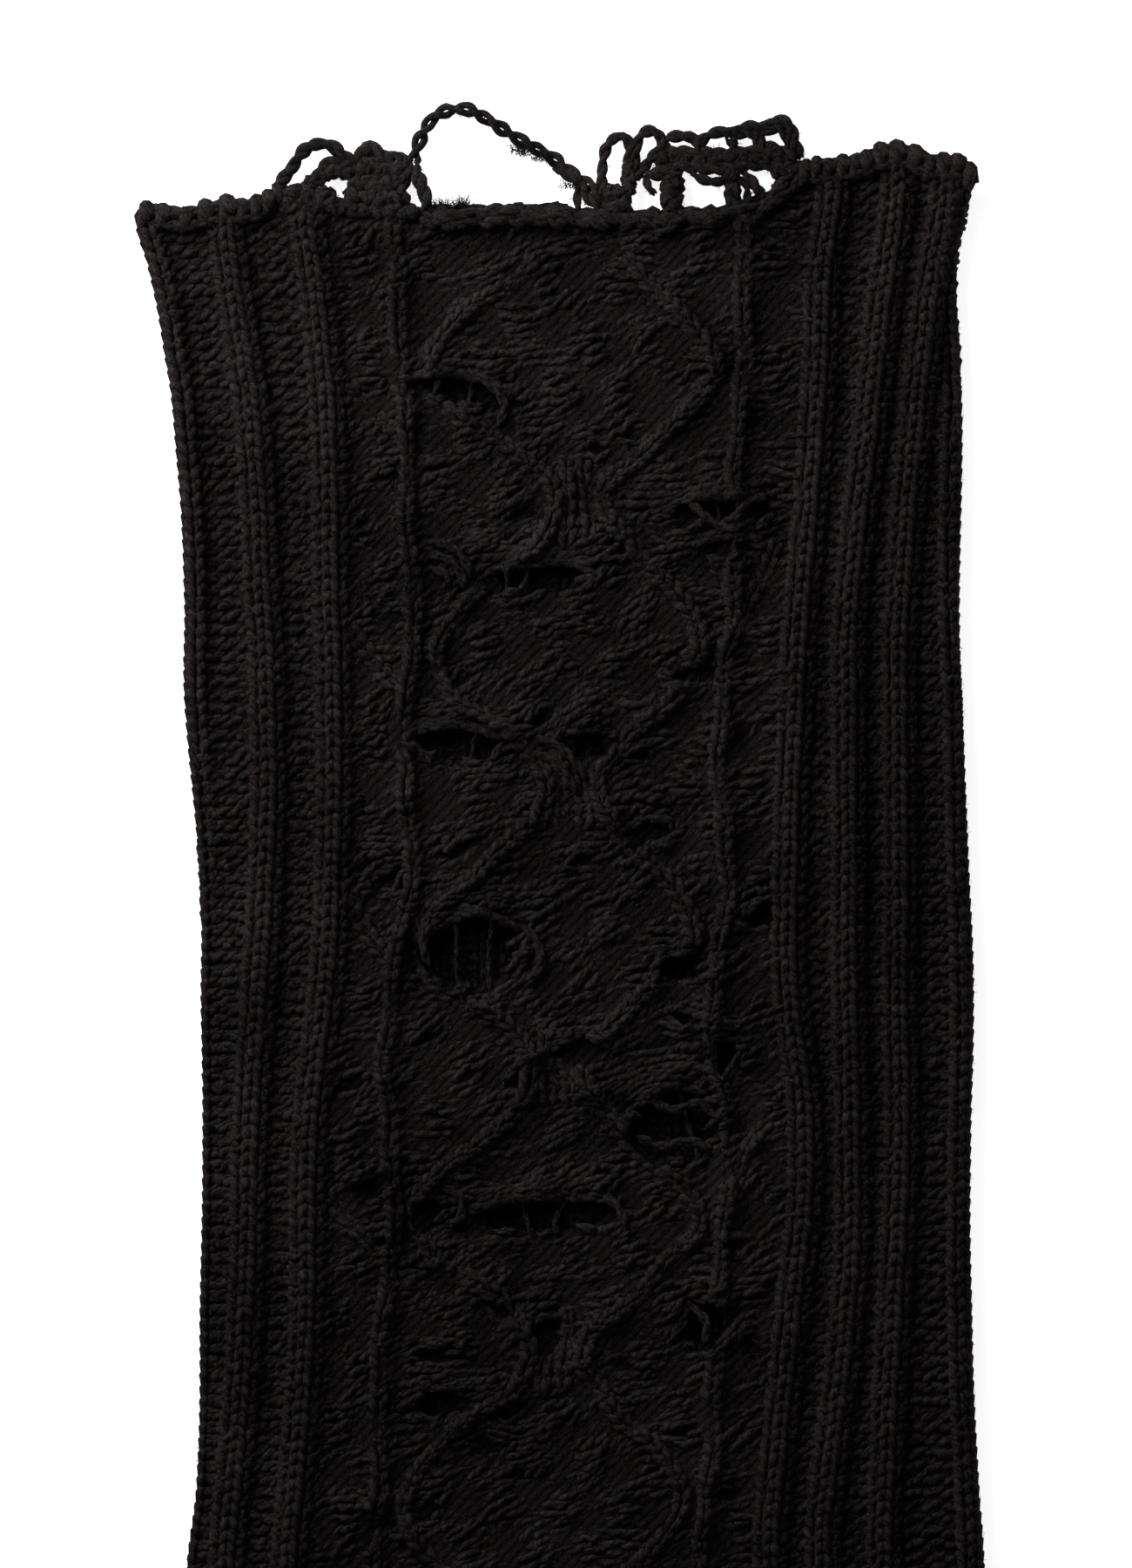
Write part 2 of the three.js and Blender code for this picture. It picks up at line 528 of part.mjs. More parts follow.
// One strand of yarn as a tube of few sides that falls from the cloth's edge towards the surface
function strand({ radius, path }) {
  const points = path.map(([x, s]) => {
    const fallen = THREE.MathUtils.clamp((STRAND_FALLS[0] - s) / (STRAND_FALLS[0] - STRAND_FALLS[1]), 0, 1);
    const root = FRONT_INSIDE + STRAND_ROOT_CLEAR + radius * STRAND_SECTION_SHARE;
    const z = THREE.MathUtils.lerp(root, STRAND_TIP_Z, fallen);
    return new THREE.Vector3(x, TOP_Y - s, Math.max(z, radius + STRAND_CLEAR));
  });
  const curve = new THREE.CatmullRomCurve3(points, false, 'centripetal');
  const shape = new THREE.Shape();
  for (let i = 0; i < STRAND_SIDES; i += 1) {
    const angle = (2 * Math.PI * (i + 0.5)) / STRAND_SIDES;
    const reach = radius * STRAND_SECTION_SHARE;
    const corner = [reach * Math.cos(angle), reach * Math.sin(angle)];
    if (i === 0) shape.moveTo(...corner);
    else shape.lineTo(...corner);
  }
  shape.closePath();
  const steps = Math.max(2, Math.round(points.length * STRAND_STEPS_A_POINT));
  return solidOf(new THREE.ExtrudeGeometry(shape, { steps, extrudePath: curve, bevelEnabled: false }));
}

const frontTopRow = frontRow(rowPlaces(FRONT_ROW_STEP)[0]);
const backTopRow = backRow(rowPlaces(BACK_ROW_STEP)[0]);

function frayedEdge() {
  const line = edgeLine(frontTopRow, FRAYED_STRIP, STRIP_RING_STEP);
  const strip = solidOf(band(line, FRONT_INSIDE, FRONT_INSIDE + FRAYED_STRIP.thickness, {}));
  return geometryOf(STRANDS.map(strand).reduce((whole, yarn) => whole.add(yarn), strip));
}

function frontRoll(range) {
  const line = edgeLine(frontTopRow, range, BEAD_RING_STEP);
  return band(line, FRONT_INSIDE, FRONT_INSIDE + ROLL_THICKNESS, { beads: true });
}

function backRoll() {
  const line = edgeLine(backTopRow, BACK_ROLL, BEAD_RING_STEP);
  return band(line, 0, BACK_THICKNESS, { flatBelow: true, beads: true });
}

const pieces = [
  ['front_panel', frontPanel(), WOOL.ribs],
  ['back_panel', backPanel(), WOOL.back],
  ['bind_off_left', frontRoll(LEFT_ROLL), WOOL.edges],
  ['bind_off_right', frontRoll(RIGHT_ROLL), WOOL.edges],
  ['bind_off_back', backRoll(), WOOL.edges],
  ['frayed_edge', frayedEdge(), WOOL.frayed],
  ['cast_on_front', band(hemLine(), FRONT_INSIDE, FRONT_OUTSIDE + HEM_RISE, {}), WOOL.edges],
  ['cast_on_back', band(hemLine(), 0, BACK_THICKNESS, { flatBelow: true }), WOOL.edges],
];

const group = new THREE.Group();
pieces.forEach(([name, geometry, finish]) => {
  const mesh = new THREE.Mesh(geometry, new THREE.MeshStandardMaterial(finish));
  mesh.name = name;
  group.add(mesh);
});

export default group;
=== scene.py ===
"""A chunky ribbed wool leg warmer laid flat, with a torn lace panel and a frayed top edge.

Every stitch is a piece of yarn: plump V stitches on the ribs, purl bumps in the troughs, slanted
strands in the lace, and twisted loops of broken yarn at the top. Sizes are in millimetres and
become metres when a mesh is made. s is the distance below the tip of the highest loop.
"""
import logging
import math
from collections.abc import Callable
from dataclasses import dataclass, field
from enum import Enum

import bpy
import numpy as np
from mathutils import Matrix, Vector
from numpy.typing import NDArray


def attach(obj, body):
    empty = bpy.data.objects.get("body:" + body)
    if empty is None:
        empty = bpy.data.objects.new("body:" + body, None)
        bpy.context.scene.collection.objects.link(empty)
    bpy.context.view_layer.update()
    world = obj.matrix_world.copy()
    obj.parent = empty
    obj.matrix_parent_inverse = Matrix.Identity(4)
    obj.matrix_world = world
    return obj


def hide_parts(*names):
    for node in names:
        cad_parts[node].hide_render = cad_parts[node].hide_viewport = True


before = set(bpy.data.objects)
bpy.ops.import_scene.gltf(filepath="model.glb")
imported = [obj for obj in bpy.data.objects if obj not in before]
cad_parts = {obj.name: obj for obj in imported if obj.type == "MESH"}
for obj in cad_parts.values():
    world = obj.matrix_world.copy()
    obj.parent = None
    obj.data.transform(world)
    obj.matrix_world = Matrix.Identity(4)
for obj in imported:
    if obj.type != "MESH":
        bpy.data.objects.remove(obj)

Array = NDArray[np.float64]
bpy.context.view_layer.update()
LOG = logging.getLogger("leg_warmer")
MM = 0.001
SEED = 7


class Slot(Enum):
    """The record's material slots."""

    RIB = "rib_wool"
    BACK = "back_wool"
    EDGE = "edge_wool"
    FRAYED = "frayed_wool"


# x of both folds, of the middle of each rib, and of the rib on the right fold, at each s
STATION_NAMES = ("s", "left", "l0", "l1", "l2", "l3", "r3", "r2", "r1", "r0", "rf", "right")
STATIONS = np.array([
    (8, -91.8, -88.8, -73.8, -56.4, -36.8, 41.2, 59.6, 73.8, 84.8, 88.2, 89.6),
    (14, -92.2, -89.2, -73.8, -56.4, -36.8, 41.2, 59.4, 73.6, 84.4, 88.4, 90.1),
    (25, -93.1, -90.0, -73.4, -55.8, -36.6, 40.9, 58.8, 72.9, 83.4, 86.6, 87.8),
    (35, -90.4, -87.4, -72.2, -54.2, -35.7, 39.9, 57.2, 71.3, 81.4, 84.8, 86.0),
    (54, -86.8, -83.8, -69.4, -52.2, -34.9, 39.1, 56.4, 69.0, 79.0, 84.6, 86.6),
    (73, -84.4, -81.7, -67.1, -50.9, -34.4, 38.4, 55.3, 67.1, 77.0, 84.6, 87.2),
    (109, -82.3, -79.6, -65.2, -50.4, -32.5, 37.1, 52.4, 63.1, 74.1, 84.2, 86.6),
    (130, -82.3, -79.4, -64.2, -49.8, -34.4, 34.6, 51.1, 62.7, 73.7, 85.2, 87.2),
    (168, -79.0, -74.6, -64.6, -50.2, -32.9, 35.7, 49.8, 62.7, 73.9, 86.0, 88.7),
    (196, -78.7, -74.2, -66.3, -51.9, -38.0, 32.9, 50.0, 62.7, 73.7, 86.8, 89.7),
    (225, -78.3, -74.4, -68.0, -55.1, -37.2, 35.2, 53.2, 63.3, 74.1, 86.3, 89.1),
    (263, -78.9, -75.6, -69.0, -55.7, -38.6, 34.2, 50.4, 62.3, 72.4, 86.2, 89.3),
    (301, -79.6, -77.6, -71.6, -58.1, -40.7, 31.4, 46.6, 58.0, 70.7, 87.6, 90.8),
    (319, -81.7, -79.4, -73.2, -59.7, -41.8, 30.4, 45.6, 57.0, 70.3, 88.4, 92.0),
    (380, -84.0, -81.2, -74.6, -61.0, -42.0, 32.0, 48.0, 60.0, 72.0, 88.8, 93.1),
    (450, -85.0, -81.8, -75.0, -61.6, -42.6, 33.6, 50.0, 62.0, 74.6, 88.6, 92.0),
])

# x across, and s of the top edge there
FRONT_TOP = np.array([
    (-94, 22.4), (-88, 22.1), (-81, 22.7), (-74, 20.8), (-67, 20.8), (-62, 19.4), (-54, 21.4),
    (-30, 22.4), (-8, 21.8), (12, 22.8), (30, 22.2), (40, 21.2), (46, 18.0), (52, 13.6), (57, 12.8),
    (62, 12.0), (67, 10.8), (71, 9.4), (76, 9.8), (80, 11.6), (86, 11.4), (90, 13.6), (94, 17.0),
])
# The same for the back, which the picture doesn't show
BACK_TOP = np.array([
    (-94, 22.4), (-66, 22.0), (-30, 21.6), (-8, 21.2), (12, 23.6), (36, 24.0), (48, 19.0), (60, 14.4),
    (94, 13.4),
])

# x and s of the middle of each hole, its length, its height, and its slope in degrees
HOLES = np.array([
    (-20.3, 62.8, 23.5, 6.4, -12),
    (34.8, 88.9, 22.0, 6.6, 4),
    (36.1, 96.9, 13.2, 4.4, 8),
    (-4.8, 103.6, 23.0, 6.8, 3),
    (29.6, 124.3, 9.6, 4.6, 10),
    (-23.0, 139.6, 19.2, 7.8, -6),
    (5.7, 140.0, 11.6, 6.4, 0),
    (18.4, 159.2, 10.6, 5.2, 8),
    (-37.8, 169.8, 7.6, 4.6, 12),
    (-19.8, 184.4, 21.6, 16.2, 4),
    (43.4, 177.2, 7.4, 4.6, 20),
    (26.0, 188.2, 10.6, 6.2, 10),
    (3.8, 206.6, 11.8, 5.4, 5),
    (35.2, 208.0, 6.4, 10.4, 0),
    (24.7, 222.4, 19.8, 14.6, 12),
    (-2.9, 242.2, 32.0, 7.8, 3),
    (-29.8, 242.2, 5.8, 8.0, 0),
    (-41.4, 236.0, 7.4, 4.6, 15),
    (31.4, 266.2, 9.4, 9.8, 10),
    (-3.2, 268.4, 6.6, 7.4, 0),
    (-26.6, 283.6, 11.6, 5.8, 8),
    (-43.0, 312.0, 3.2, 7.6, 0),
    (-18.0, 332.0, 17.0, 7.4, -5),
    (18.0, 350.0, 12.0, 5.4, 8),
    (-6.0, 367.0, 20.0, 6.0, 4),
    (-22.0, 394.0, 15.0, 6.8, -5),
])

# Small openings that are only parted yarn, given as the holes are
PARTINGS = np.array([
    (8.6, 76.4, 5.8, 3.6, 0),
    (16.7, 70.7, 4.8, 3.6, 0),
    (-2.6, 71.0, 6.0, 3.0, -20),
    (39.3, 57.8, 5.2, 3.4, 0),
    (30.0, 59.6, 7.0, 2.8, 12),
    (-36.1, 111.5, 6.7, 3.2, 0),
    (-12.4, 95.2, 9.0, 2.8, 4),
    (13.6, 99.0, 4.0, 3.4, 0),
    (34.8, 182.8, 4.8, 4.2, 0),
    (10.6, 181.0, 5.0, 3.6, 0),
    (-39.5, 247.4, 4.4, 4.4, 0),
    (38.0, 247.4, 4.4, 4.2, 0),
    (-16.2, 293.0, 9.0, 3.8, 5),
    (-30.0, 203.0, 8.0, 3.0, -8),
    (20.6, 206.0, 9.0, 3.0, 10),
    (12.0, 276.0, 6.0, 3.6, 20),
    (-10.0, 300.0, 7.0, 3.4, 10),
])

# Beads of yarn along the finished edges of the front: x and s of each one's top, and its width
BEADS_LEFT = np.array([
    (-90.4, 21.0, 3.3), (-86.8, 21.5, 3.2), (-81.9, 22.3, 3.2), (-77.4, 20.8, 4.2), (-72.7, 19.9, 4.4),
    (-69.3, 20.8, 2.6), (-66.4, 19.7, 3.0), (-64.0, 18.6, 3.0),
])
BEADS_RIGHT = np.array([
    (53.4, 12.0, 2.6), (55.6, 11.4, 2.4), (58.2, 11.8, 2.6), (61.4, 10.8, 3.4), (64.2, 10.9, 2.4),
    (66.6, 9.9, 3.2), (69.8, 8.3, 4.0), (73.4, 8.0, 4.4), (77.2, 8.9, 4.2), (80.2, 11.0, 2.8),
    (83.4, 10.4, 3.6), (86.4, 10.5, 3.6), (88.9, 12.6, 2.8),
])


@dataclass(frozen=True)
class Rib:
    """One rib of V stitches: its station, its width at the foot, its height and its wales."""

    name: str
    width: float
    raise_by: float
    wales: int


RIBS = (
    Rib("l0", 5.0, 2.0, 1),
    Rib("l1", 8.2, 2.2, 2),
    Rib("l2", 7.4, 2.2, 2),
    Rib("l3", 4.2, 1.9, 1),
    Rib("r3", 4.2, 1.9, 1),
    Rib("r2", 7.4, 2.1, 2),
    Rib("r1", 7.8, 2.2, 2),
    Rib("r0", 7.6, 2.2, 2),
    Rib("rf", 3.6, 1.5, 1),
)


def smooth_read(places: Array, values: Array, at: Array) -> Array:
    """Reads a table smoothly.

    Args:
        places: the key column, rising.
        values: the column to read.
        at: the places to read it at.

    Returns:
        The values there.
    """
    at = np.asarray(at, dtype=float)
    last = len(places) - 1
    before = np.clip(np.arange(last + 1) - 1, 0, last)
    after = np.clip(np.arange(last + 1) + 1, 0, last)
    slopes = (values[after] - values[before]) / (places[after] - places[before])
    k = np.clip(np.searchsorted(places, at, side="right") - 1, 0, last - 1)
    span = places[k + 1] - places[k]
    t = np.clip((at - places[k]) / span, 0, 1)
    blend = t * t * (3 - 2 * t)
    start = values[k] + slopes[k] * span * t
    end = values[k + 1] - slopes[k + 1] * span * (1 - t)
    return start * (1 - blend) + end * blend


def fade(low: float, high: float, at: Array) -> Array:
    """Rises smoothly from 0 at low to 1 at high."""
    t = np.clip((np.asarray(at, dtype=float) - low) / (high - low), 0, 1)
    return t * t * (3 - 2 * t)


def from_hole(hole: Array, x: Array, s: Array) -> tuple[Array, Array]:
    """Places along a hole's length and across it, from its middle.

    Args:
        hole: its row of the table.
        x: places across the leg.
        s: places down the leg.

    Returns:
        The places along it and across it.
    """
    cx, cs, _, _, slope = hole
    turn = math.radians(slope)
    along = (x - cx) * math.cos(turn) - (s - cs) * math.sin(turn)
    across = (x - cx) * math.sin(turn) + (s - cs) * math.cos(turn)
    return along, across


def to_leg(hole: Array, along: Array, across: Array) -> tuple[Array, Array]:
    """Turns places along and across a hole into x and s.

    Args:
        hole: its row of the table.
        along: places along its length.
        across: places across it.

    Returns:
        The x and s of the places.
    """
    cx, cs, _, _, slope = hole
    turn = math.radians(slope)
    x = cx + along * math.cos(turn) + across * math.sin(turn)
    s = cs - along * math.sin(turn) + across * math.cos(turn)
    return x, s


def hole_distance(hole: Array, along: Array, across: Array) -> Array:
    """Distance from a hole's middle, in hole sizes: 1 on its rim."""
    return np.hypot(along / (hole[2] / 2), across / (hole[3] / 2))


@dataclass(frozen=True)
class LegMap:
    """Where everything is on the flat leg warmer, in the same sizes as its solids."""

    length: float = 450.0
    seam_gap: float = 0.3
    back: float = 3.6
    wall: float = 2.6
    lace_wall: float = 2.0
    fold_radius: float = 3.4
    fold_lip: float = 0.5
    edge_width: float = 4.0
    repeat: float = 61.75
    widest_at: float = 57.4
    narrow: float = 5.2
    inset: float = 5.6
    shift: float = 1.6
    ridge_width: float = 4.6
    ridge_raise: float = 1.6
    bunch: float = 1.3
    bunch_reach: float = 2.6
    rim_at: float = 1.12
    push_along: float = 0.35
    # reach of the painted shade in the trough on the right of each rib
    trough: float = 3.0

    @property
    def inside(self) -> float:
        """Height of the front layer's inner face."""
        return self.back + self.seam_gap

    @property
    def cloth_end(self) -> float:
        """s where the cloth meets the hem."""
        return self.length - self.edge_width - self.seam_gap

    def station(self, name: str, s: Array) -> Array:
        """x of a fold or of the middle of a rib, at s."""
        return smooth_read(STATIONS[:, 0], STATIONS[:, STATION_NAMES.index(name)], s)

    def front_top(self, x: Array) -> Array:
        """s of the front's top edge at x."""
        return smooth_read(FRONT_TOP[:, 0], FRONT_TOP[:, 1], x)

    def back_top(self, x: Array) -> Array:
        """s of the back's top edge at x."""
        return smooth_read(BACK_TOP[:, 0], BACK_TOP[:, 1], x)

    def opening(self, s: Array) -> Array:
        """How open the diamonds of the lace are: 1 at their widest, 0 where they close."""
        return 0.5 + 0.5 * np.cos(2 * np.pi * (np.asarray(s) - self.widest_at) / self.repeat)

    def middle(self, s: Array) -> Array:
        """x of the middle of the lace."""
        return (self.station("l3", s) + self.station("r3", s)) / 2 + self.shift

    def ridge(self, s: Array, side: int) -> Array:
        """x of the ridge on one side of the diamonds.

        Args:
            s: places down the leg.
            side: -1 for the left ridge, 1 for the right one.

        Returns:
            x at each of them.
        """
        middle = self.middle(s)
        outer = self.station("r3", s) if side > 0 else self.station("l3", s)
        reach = np.abs(outer - middle) - self.inset
        return middle + side * (self.narrow + (reach - self.narrow) * self.opening(s))

    def ridges_shown(self, s: Array) -> Array:
        """How far the ridges stand out at s."""
        return fade(30, 42, s) * (1 - fade(418, 436, s))

    def rib_shown(self, name: str, s: Array) -> Array:
        """How far a rib stands out at s, because two of them roll over the folds.

        Args:
            name: the rib's name.
            s: places down the leg.

        Returns:
            Shares from 0, where it has rolled under, to 1.
        """
        if name == "l0":
            return 1 - fade(125, 165, s)
        if name == "rf":
            return fade(45, 90, s)
        return np.ones_like(np.asarray(s, dtype=float))

    def height(self, x: Array, s: Array) -> Array:
        """Height of the front's outer face.

        Args:
            x: places across the leg.
            s: places down the leg.

        Returns:
            z at each of them.
        """
        left, right = self.station("left", s), self.station("right", s)
        inwards = np.clip(np.minimum(x - left, right - x) / self.fold_radius, 0, 1)
        rounded = np.sqrt(np.clip(1 - (1 - inwards) ** 2, 0, 1))
        lace = fade(-1, 2, x - self.station("l3", s)) * fade(-1, 2, self.station("r3", s) - x)
        wall = self.wall + (self.lace_wall - self.wall) * lace
        z = self.inside + self.fold_lip + (wall - self.fold_lip) * rounded
        for rib in RIBS:
            across = np.abs(x - self.station(rib.name, s)) / (rib.width / 2)
            z = z + rib.raise_by * self.rib_shown(rib.name, s) * (1 - fade(0.4, 1.2, across))
        ridges = np.zeros_like(z)
        for side in (-1, 1):
            across = np.abs(x - self.ridge(s, side)) / (self.ridge_width / 2)
            raised = self.ridge_raise * self.ridges_shown(s) * (1 - fade(0.1, 1.2, across))
            ridges = np.maximum(ridges, raised)
        return z + ridges

    def torn(self, x: Array, s: Array, holes: Array = HOLES) -> Array:
        """How near a place is to a hole: under 1 inside one, and rising outwards.

        Args:
            x: places across.
            s: places down.
            holes: the table of holes to look at.

        Returns:
            The least of each place's distances from the holes, in hole sizes.
        """
        least = np.full(np.shape(x), 9.0)
        for hole in holes:
            least = np.minimum(least, hole_distance(hole, *from_hole(hole, x, s)))
        return least

    def painted_foot_shade(self, x: Array, s: Array) -> Array:
        """Painted shade in the trough on the right of a rib, where the rib's shadow falls, from 0 to 1.

        Args:
            x: places across the leg.
            s: places down the leg.

        Returns:
            The painted shade at each of them.
        """
        shade = np.zeros_like(x)
        for rib in RIBS:
            # how wide and how dark the painted shade is beside a wide or a narrow rib
            foot, depth = (3.6, 1.0) if rib.wales > 1 else (2.0, 0.6)
            past = x - self.station(rib.name, s) - foot
            near = np.exp(-np.clip(past, 0, None) ** 2 / self.trough ** 2) * fade(-1.6, 0, past)
            shade = np.maximum(shade, near * depth * self.rib_shown(rib.name, s))
        return shade

    def relief(self, x: Array, s: Array) -> Array:
        """Soft rises and dips of the lace, which bunches up over each hole and sinks below it.

        Args:
            x: places across the leg.
            s: places down the leg.

        Returns:
            What is added to z there.
        """
        open_part = fade(3, 7, x - self.station("l2", s)) * fade(3, 7, self.station("r2", s) - x)
        rise = 0.5 * np.sin(0.42 * x + 0.23 * s) + 0.5 * np.sin(0.31 * s - 0.5 * x + 1.0) - 0.3
        rise = rise + 0.35 * np.sin(0.62 * s + 0.12 * x)
        for hole in HOLES:
            along, across = from_hole(hole, x, s)
            beside = along / (0.6 * hole[2] + 2)
            ahead = (across + hole[3] / 2 + self.bunch_reach) / self.bunch_reach
            rise = rise + self.bunch * np.exp(-beside ** 2 - ahead ** 2)
        return open_part * rise

    def wavy(self, x: Array, s: Array) -> tuple[Array, Array]:
        """Lets the open stitches of the lace wander from their even rows, but not the ribs or the holes.

        Args:
            x: places across.
            s: places down.

        Returns:
            The places after it.
        """
        free = fade(2.5, 9, x - self.station("l2", s)) * fade(2.5, 9, self.station("r2", s) - x)
        free = free * fade(1.1, 2.4, self.torn(x, s))
        across = 0.8 * np.sin(0.19 * x + 0.11 * s + 0.7) + 0.4 * np.sin(0.31 * s - 0.23 * x)
        down = 1.1 * np.sin(0.16 * x - 0.13 * s + 2.1) + 0.7 * np.sin(0.29 * x + 0.21 * s)
        return x + free * across, s + free * down

    def parted(self, x: Array, s: Array, gaps: Array, reach: float = 1.9) -> tuple[Array, Array]:
        """Pushes yarn aside round the holes, where it bunches up.

        Args:
            x: places across.
            s: places down.
            gaps: the table of holes and partings to go round.
            reach: how far out the yarn is pushed, in hole sizes.

        Returns:
            The places after the push.
        """
        for gap in gaps:
            along, across = from_hole(gap, x, s)
            far = hole_distance(gap, along, across)
            near = far < reach
            pushed = self.rim_at + (reach - self.rim_at) * np.clip(far / reach, 0, 1) ** 1.5
            scale = np.where(near, pushed / np.maximum(far, 0.05), 1.0)
            new_x, new_s = to_leg(gap, along * (1 + (scale - 1) * self.push_along), across * scale)
            x, s = np.where(near, new_x, x), np.where(near, new_s, s)
        return x, s

    def point(self, x: Array, s: Array, z: Array) -> Array:
        """Joins x, s and z into places in the frame, still in millimetres."""
        return np.stack(np.broadcast_arrays(x, self.length / 2 - s, z), axis=-1)


LEG = LegMap()


@dataclass(frozen=True)
class Grain:
    """A plump length of yarn, modelled once and then bent along every stitch."""

    levels: Array
    corners: Array
    level_of: NDArray[np.int64]
    loops: NDArray[np.int64]
    totals: NDArray[np.int64]
    around: Array


def deselect_all() -> None:
    """Leaves nothing selected."""
    bpy.ops.object.select_all(action="DESELECT")


def model_grain(sides: int, cuts: tuple[float, ...], tip: float = 0.5) -> Grain:
    """Models a length of yarn along Z, from a cylinder cut into rings and drawn in at its ends.

    Args:
        sides: corners round the yarn.
        cuts: places of the rings between its ends.
        tip: width of the end rings.

    Returns:
        The form, ready to be bent along stitches.
    """
    deselect_all()
    bpy.ops.mesh.primitive_cylinder_add(
        vertices=sides, radius=1, depth=1, end_fill_type="NGON", location=(0, 0, 0.5)
    )
    piece = bpy.context.object
    bpy.ops.object.transform_apply(location=True, rotation=True, scale=True)
    bpy.ops.object.mode_set(mode="EDIT")
    for cut in cuts:
        bpy.ops.mesh.select_all(action="SELECT")
        bpy.ops.mesh.bisect(plane_co=(0, 0, cut), plane_no=(0, 0, 1))
    bpy.ops.object.mode_set(mode="OBJECT")
    for corner in piece.data.vertices:
        corner.select = min(corner.co.z, 1 - corner.co.z) < 1e-4
    bpy.ops.object.mode_set(mode="EDIT")
    bpy.ops.mesh.select_mode(type="VERT")
    bpy.ops.transform.resize(value=(tip, tip, 1))
    bpy.ops.object.mode_set(mode="OBJECT")
    mesh = piece.data
    points = np.array([tuple(v.co) for v in mesh.vertices])
    levels = np.unique(np.round(points[:, 2], 4))
    level_of = np.abs(points[:, 2][:, None] - levels[None, :]).argmin(axis=1)
    loops = np.array([loop.vertex_index for loop in mesh.loops])
    totals = np.array([face.loop_total for face in mesh.polygons])
    angles = np.arctan2(points[:, 1], points[:, 0]) / (2 * np.pi)
    around = angles[loops]
    starts = np.concatenate([[0], np.cumsum(totals)[:-1]])
    for start, total in zip(starts, totals):
        part = around[start:start + total]
        if part.max() - part.min() > 0.5:
            part[part < 0] += 1
    bpy.data.objects.remove(piece)
    bpy.data.meshes.remove(mesh)
    return Grain(levels, points[:, :2], level_of, loops, totals, around)


class YarnBundle:
    """Gathers lengths of yarn and joins them into one mesh."""

    def __init__(self) -> None:
        """Starts with no yarn."""
        self.points: list[Array] = []
        self.loops: list[NDArray[np.int64]] = []
        self.totals: list[NDArray[np.int64]] = []
        self.maps: list[Array] = []
        self.tones: list[Array] = []
        self.count = 0

    def add(
        self,
        grain: Grain,
        paths: Array,
        radius: Array | float,
        tone_and_shade: Array,
        upright: tuple[float, float, float] = (0.0, 0.0, 1.0),
    ) -> None:
        """Bends the grain along each path.

        Args:
            grain: the form to bend.
            paths: places at the grain's levels, for each stitch.
            radius: half of the yarn's width, for all or for each stitch and level.
            tone_and_shade: lightness of each stitch, random from 0 to 1 and lower where shade is painted on.
            upright: a direction that no path runs along.
        """
        if len(paths) == 0:
            return
        run = np.gradient(paths, axis=1)
        run /= np.maximum(np.linalg.norm(run, axis=2, keepdims=True), 1e-9)
        side = np.cross(np.broadcast_to(np.array(upright), run.shape), run)
        side /= np.maximum(np.linalg.norm(side, axis=2, keepdims=True), 1e-9)
        up = np.cross(run, side)
        wide = np.broadcast_to(np.asarray(radius, dtype=float), paths.shape[:2])
        at = grain.level_of
        across = grain.corners
        points = paths[:, at] + wide[:, at, None] * (
            across[None, :, :1] * side[:, at] + across[None, :, 1:] * up[:, at]
        )
        number, size = len(paths), len(at)
        steps = np.linalg.norm(np.diff(paths, axis=1), axis=2)
        along = np.concatenate([np.zeros((number, 1)), np.cumsum(steps, axis=1)], axis=1)
        along = along + (tone_and_shade * 977.0 % 31.0)[:, None]
        loops = grain.loops[None, :] + (np.arange(number) * size)[:, None] + self.count
        u = along[:, grain.level_of[grain.loops]]
        v = np.broadcast_to(grain.around, u.shape)
        self.points.append(points.reshape(-1, 3))
        self.loops.append(loops.ravel())
        self.totals.append(np.tile(grain.totals, number))
        self.maps.append(np.stack([u, v], axis=-1).reshape(-1, 2))
        self.tones.append(np.repeat(tone_and_shade, size))
        self.count += number * size

    def build(self, name: str, material: bpy.types.Material) -> bpy.types.Object:
        """Joins what was gathered into one object.

        Args:
            name: the piece's name.
            material: its finish.

        Returns:
            The new object, at the origin.
        """
        mesh = bpy.data.meshes.new(name)
        loops = np.concatenate(self.loops)
        totals = np.concatenate(self.totals)
        points = np.concatenate(self.points) * MM
        mesh.vertices.add(len(points))
        mesh.vertices.foreach_set("co", points.astype(np.float32).ravel())
        mesh.loops.add(len(loops))
        mesh.loops.foreach_set("vertex_index", loops.astype(np.int32))
        mesh.polygons.add(len(totals))
        starts = np.concatenate([[0], np.cumsum(totals)[:-1]])
        mesh.polygons.foreach_set("loop_start", starts.astype(np.int32))
        mesh.polygons.foreach_set("loop_total", totals.astype(np.int32))
        mesh.update(calc_edges=True)
        mesh.polygons.foreach_set("use_smooth", np.ones(len(totals), dtype=bool))
        uv = mesh.uv_layers.new(name="yarn")
        uv.data.foreach_set("uv", np.concatenate(self.maps).astype(np.float32).ravel())
        # random tone of each stitch, with painted shade taken off it in shaded places
        tone_and_shade = mesh.attributes.new("tone_and_shade", "FLOAT", "POINT")
        tone_and_shade.data.foreach_set("value", np.concatenate(self.tones).astype(np.float32))
        mesh.materials.append(material)
        piece = bpy.data.objects.new(name, mesh)
        bpy.context.scene.collection.objects.link(piece)
        return piece


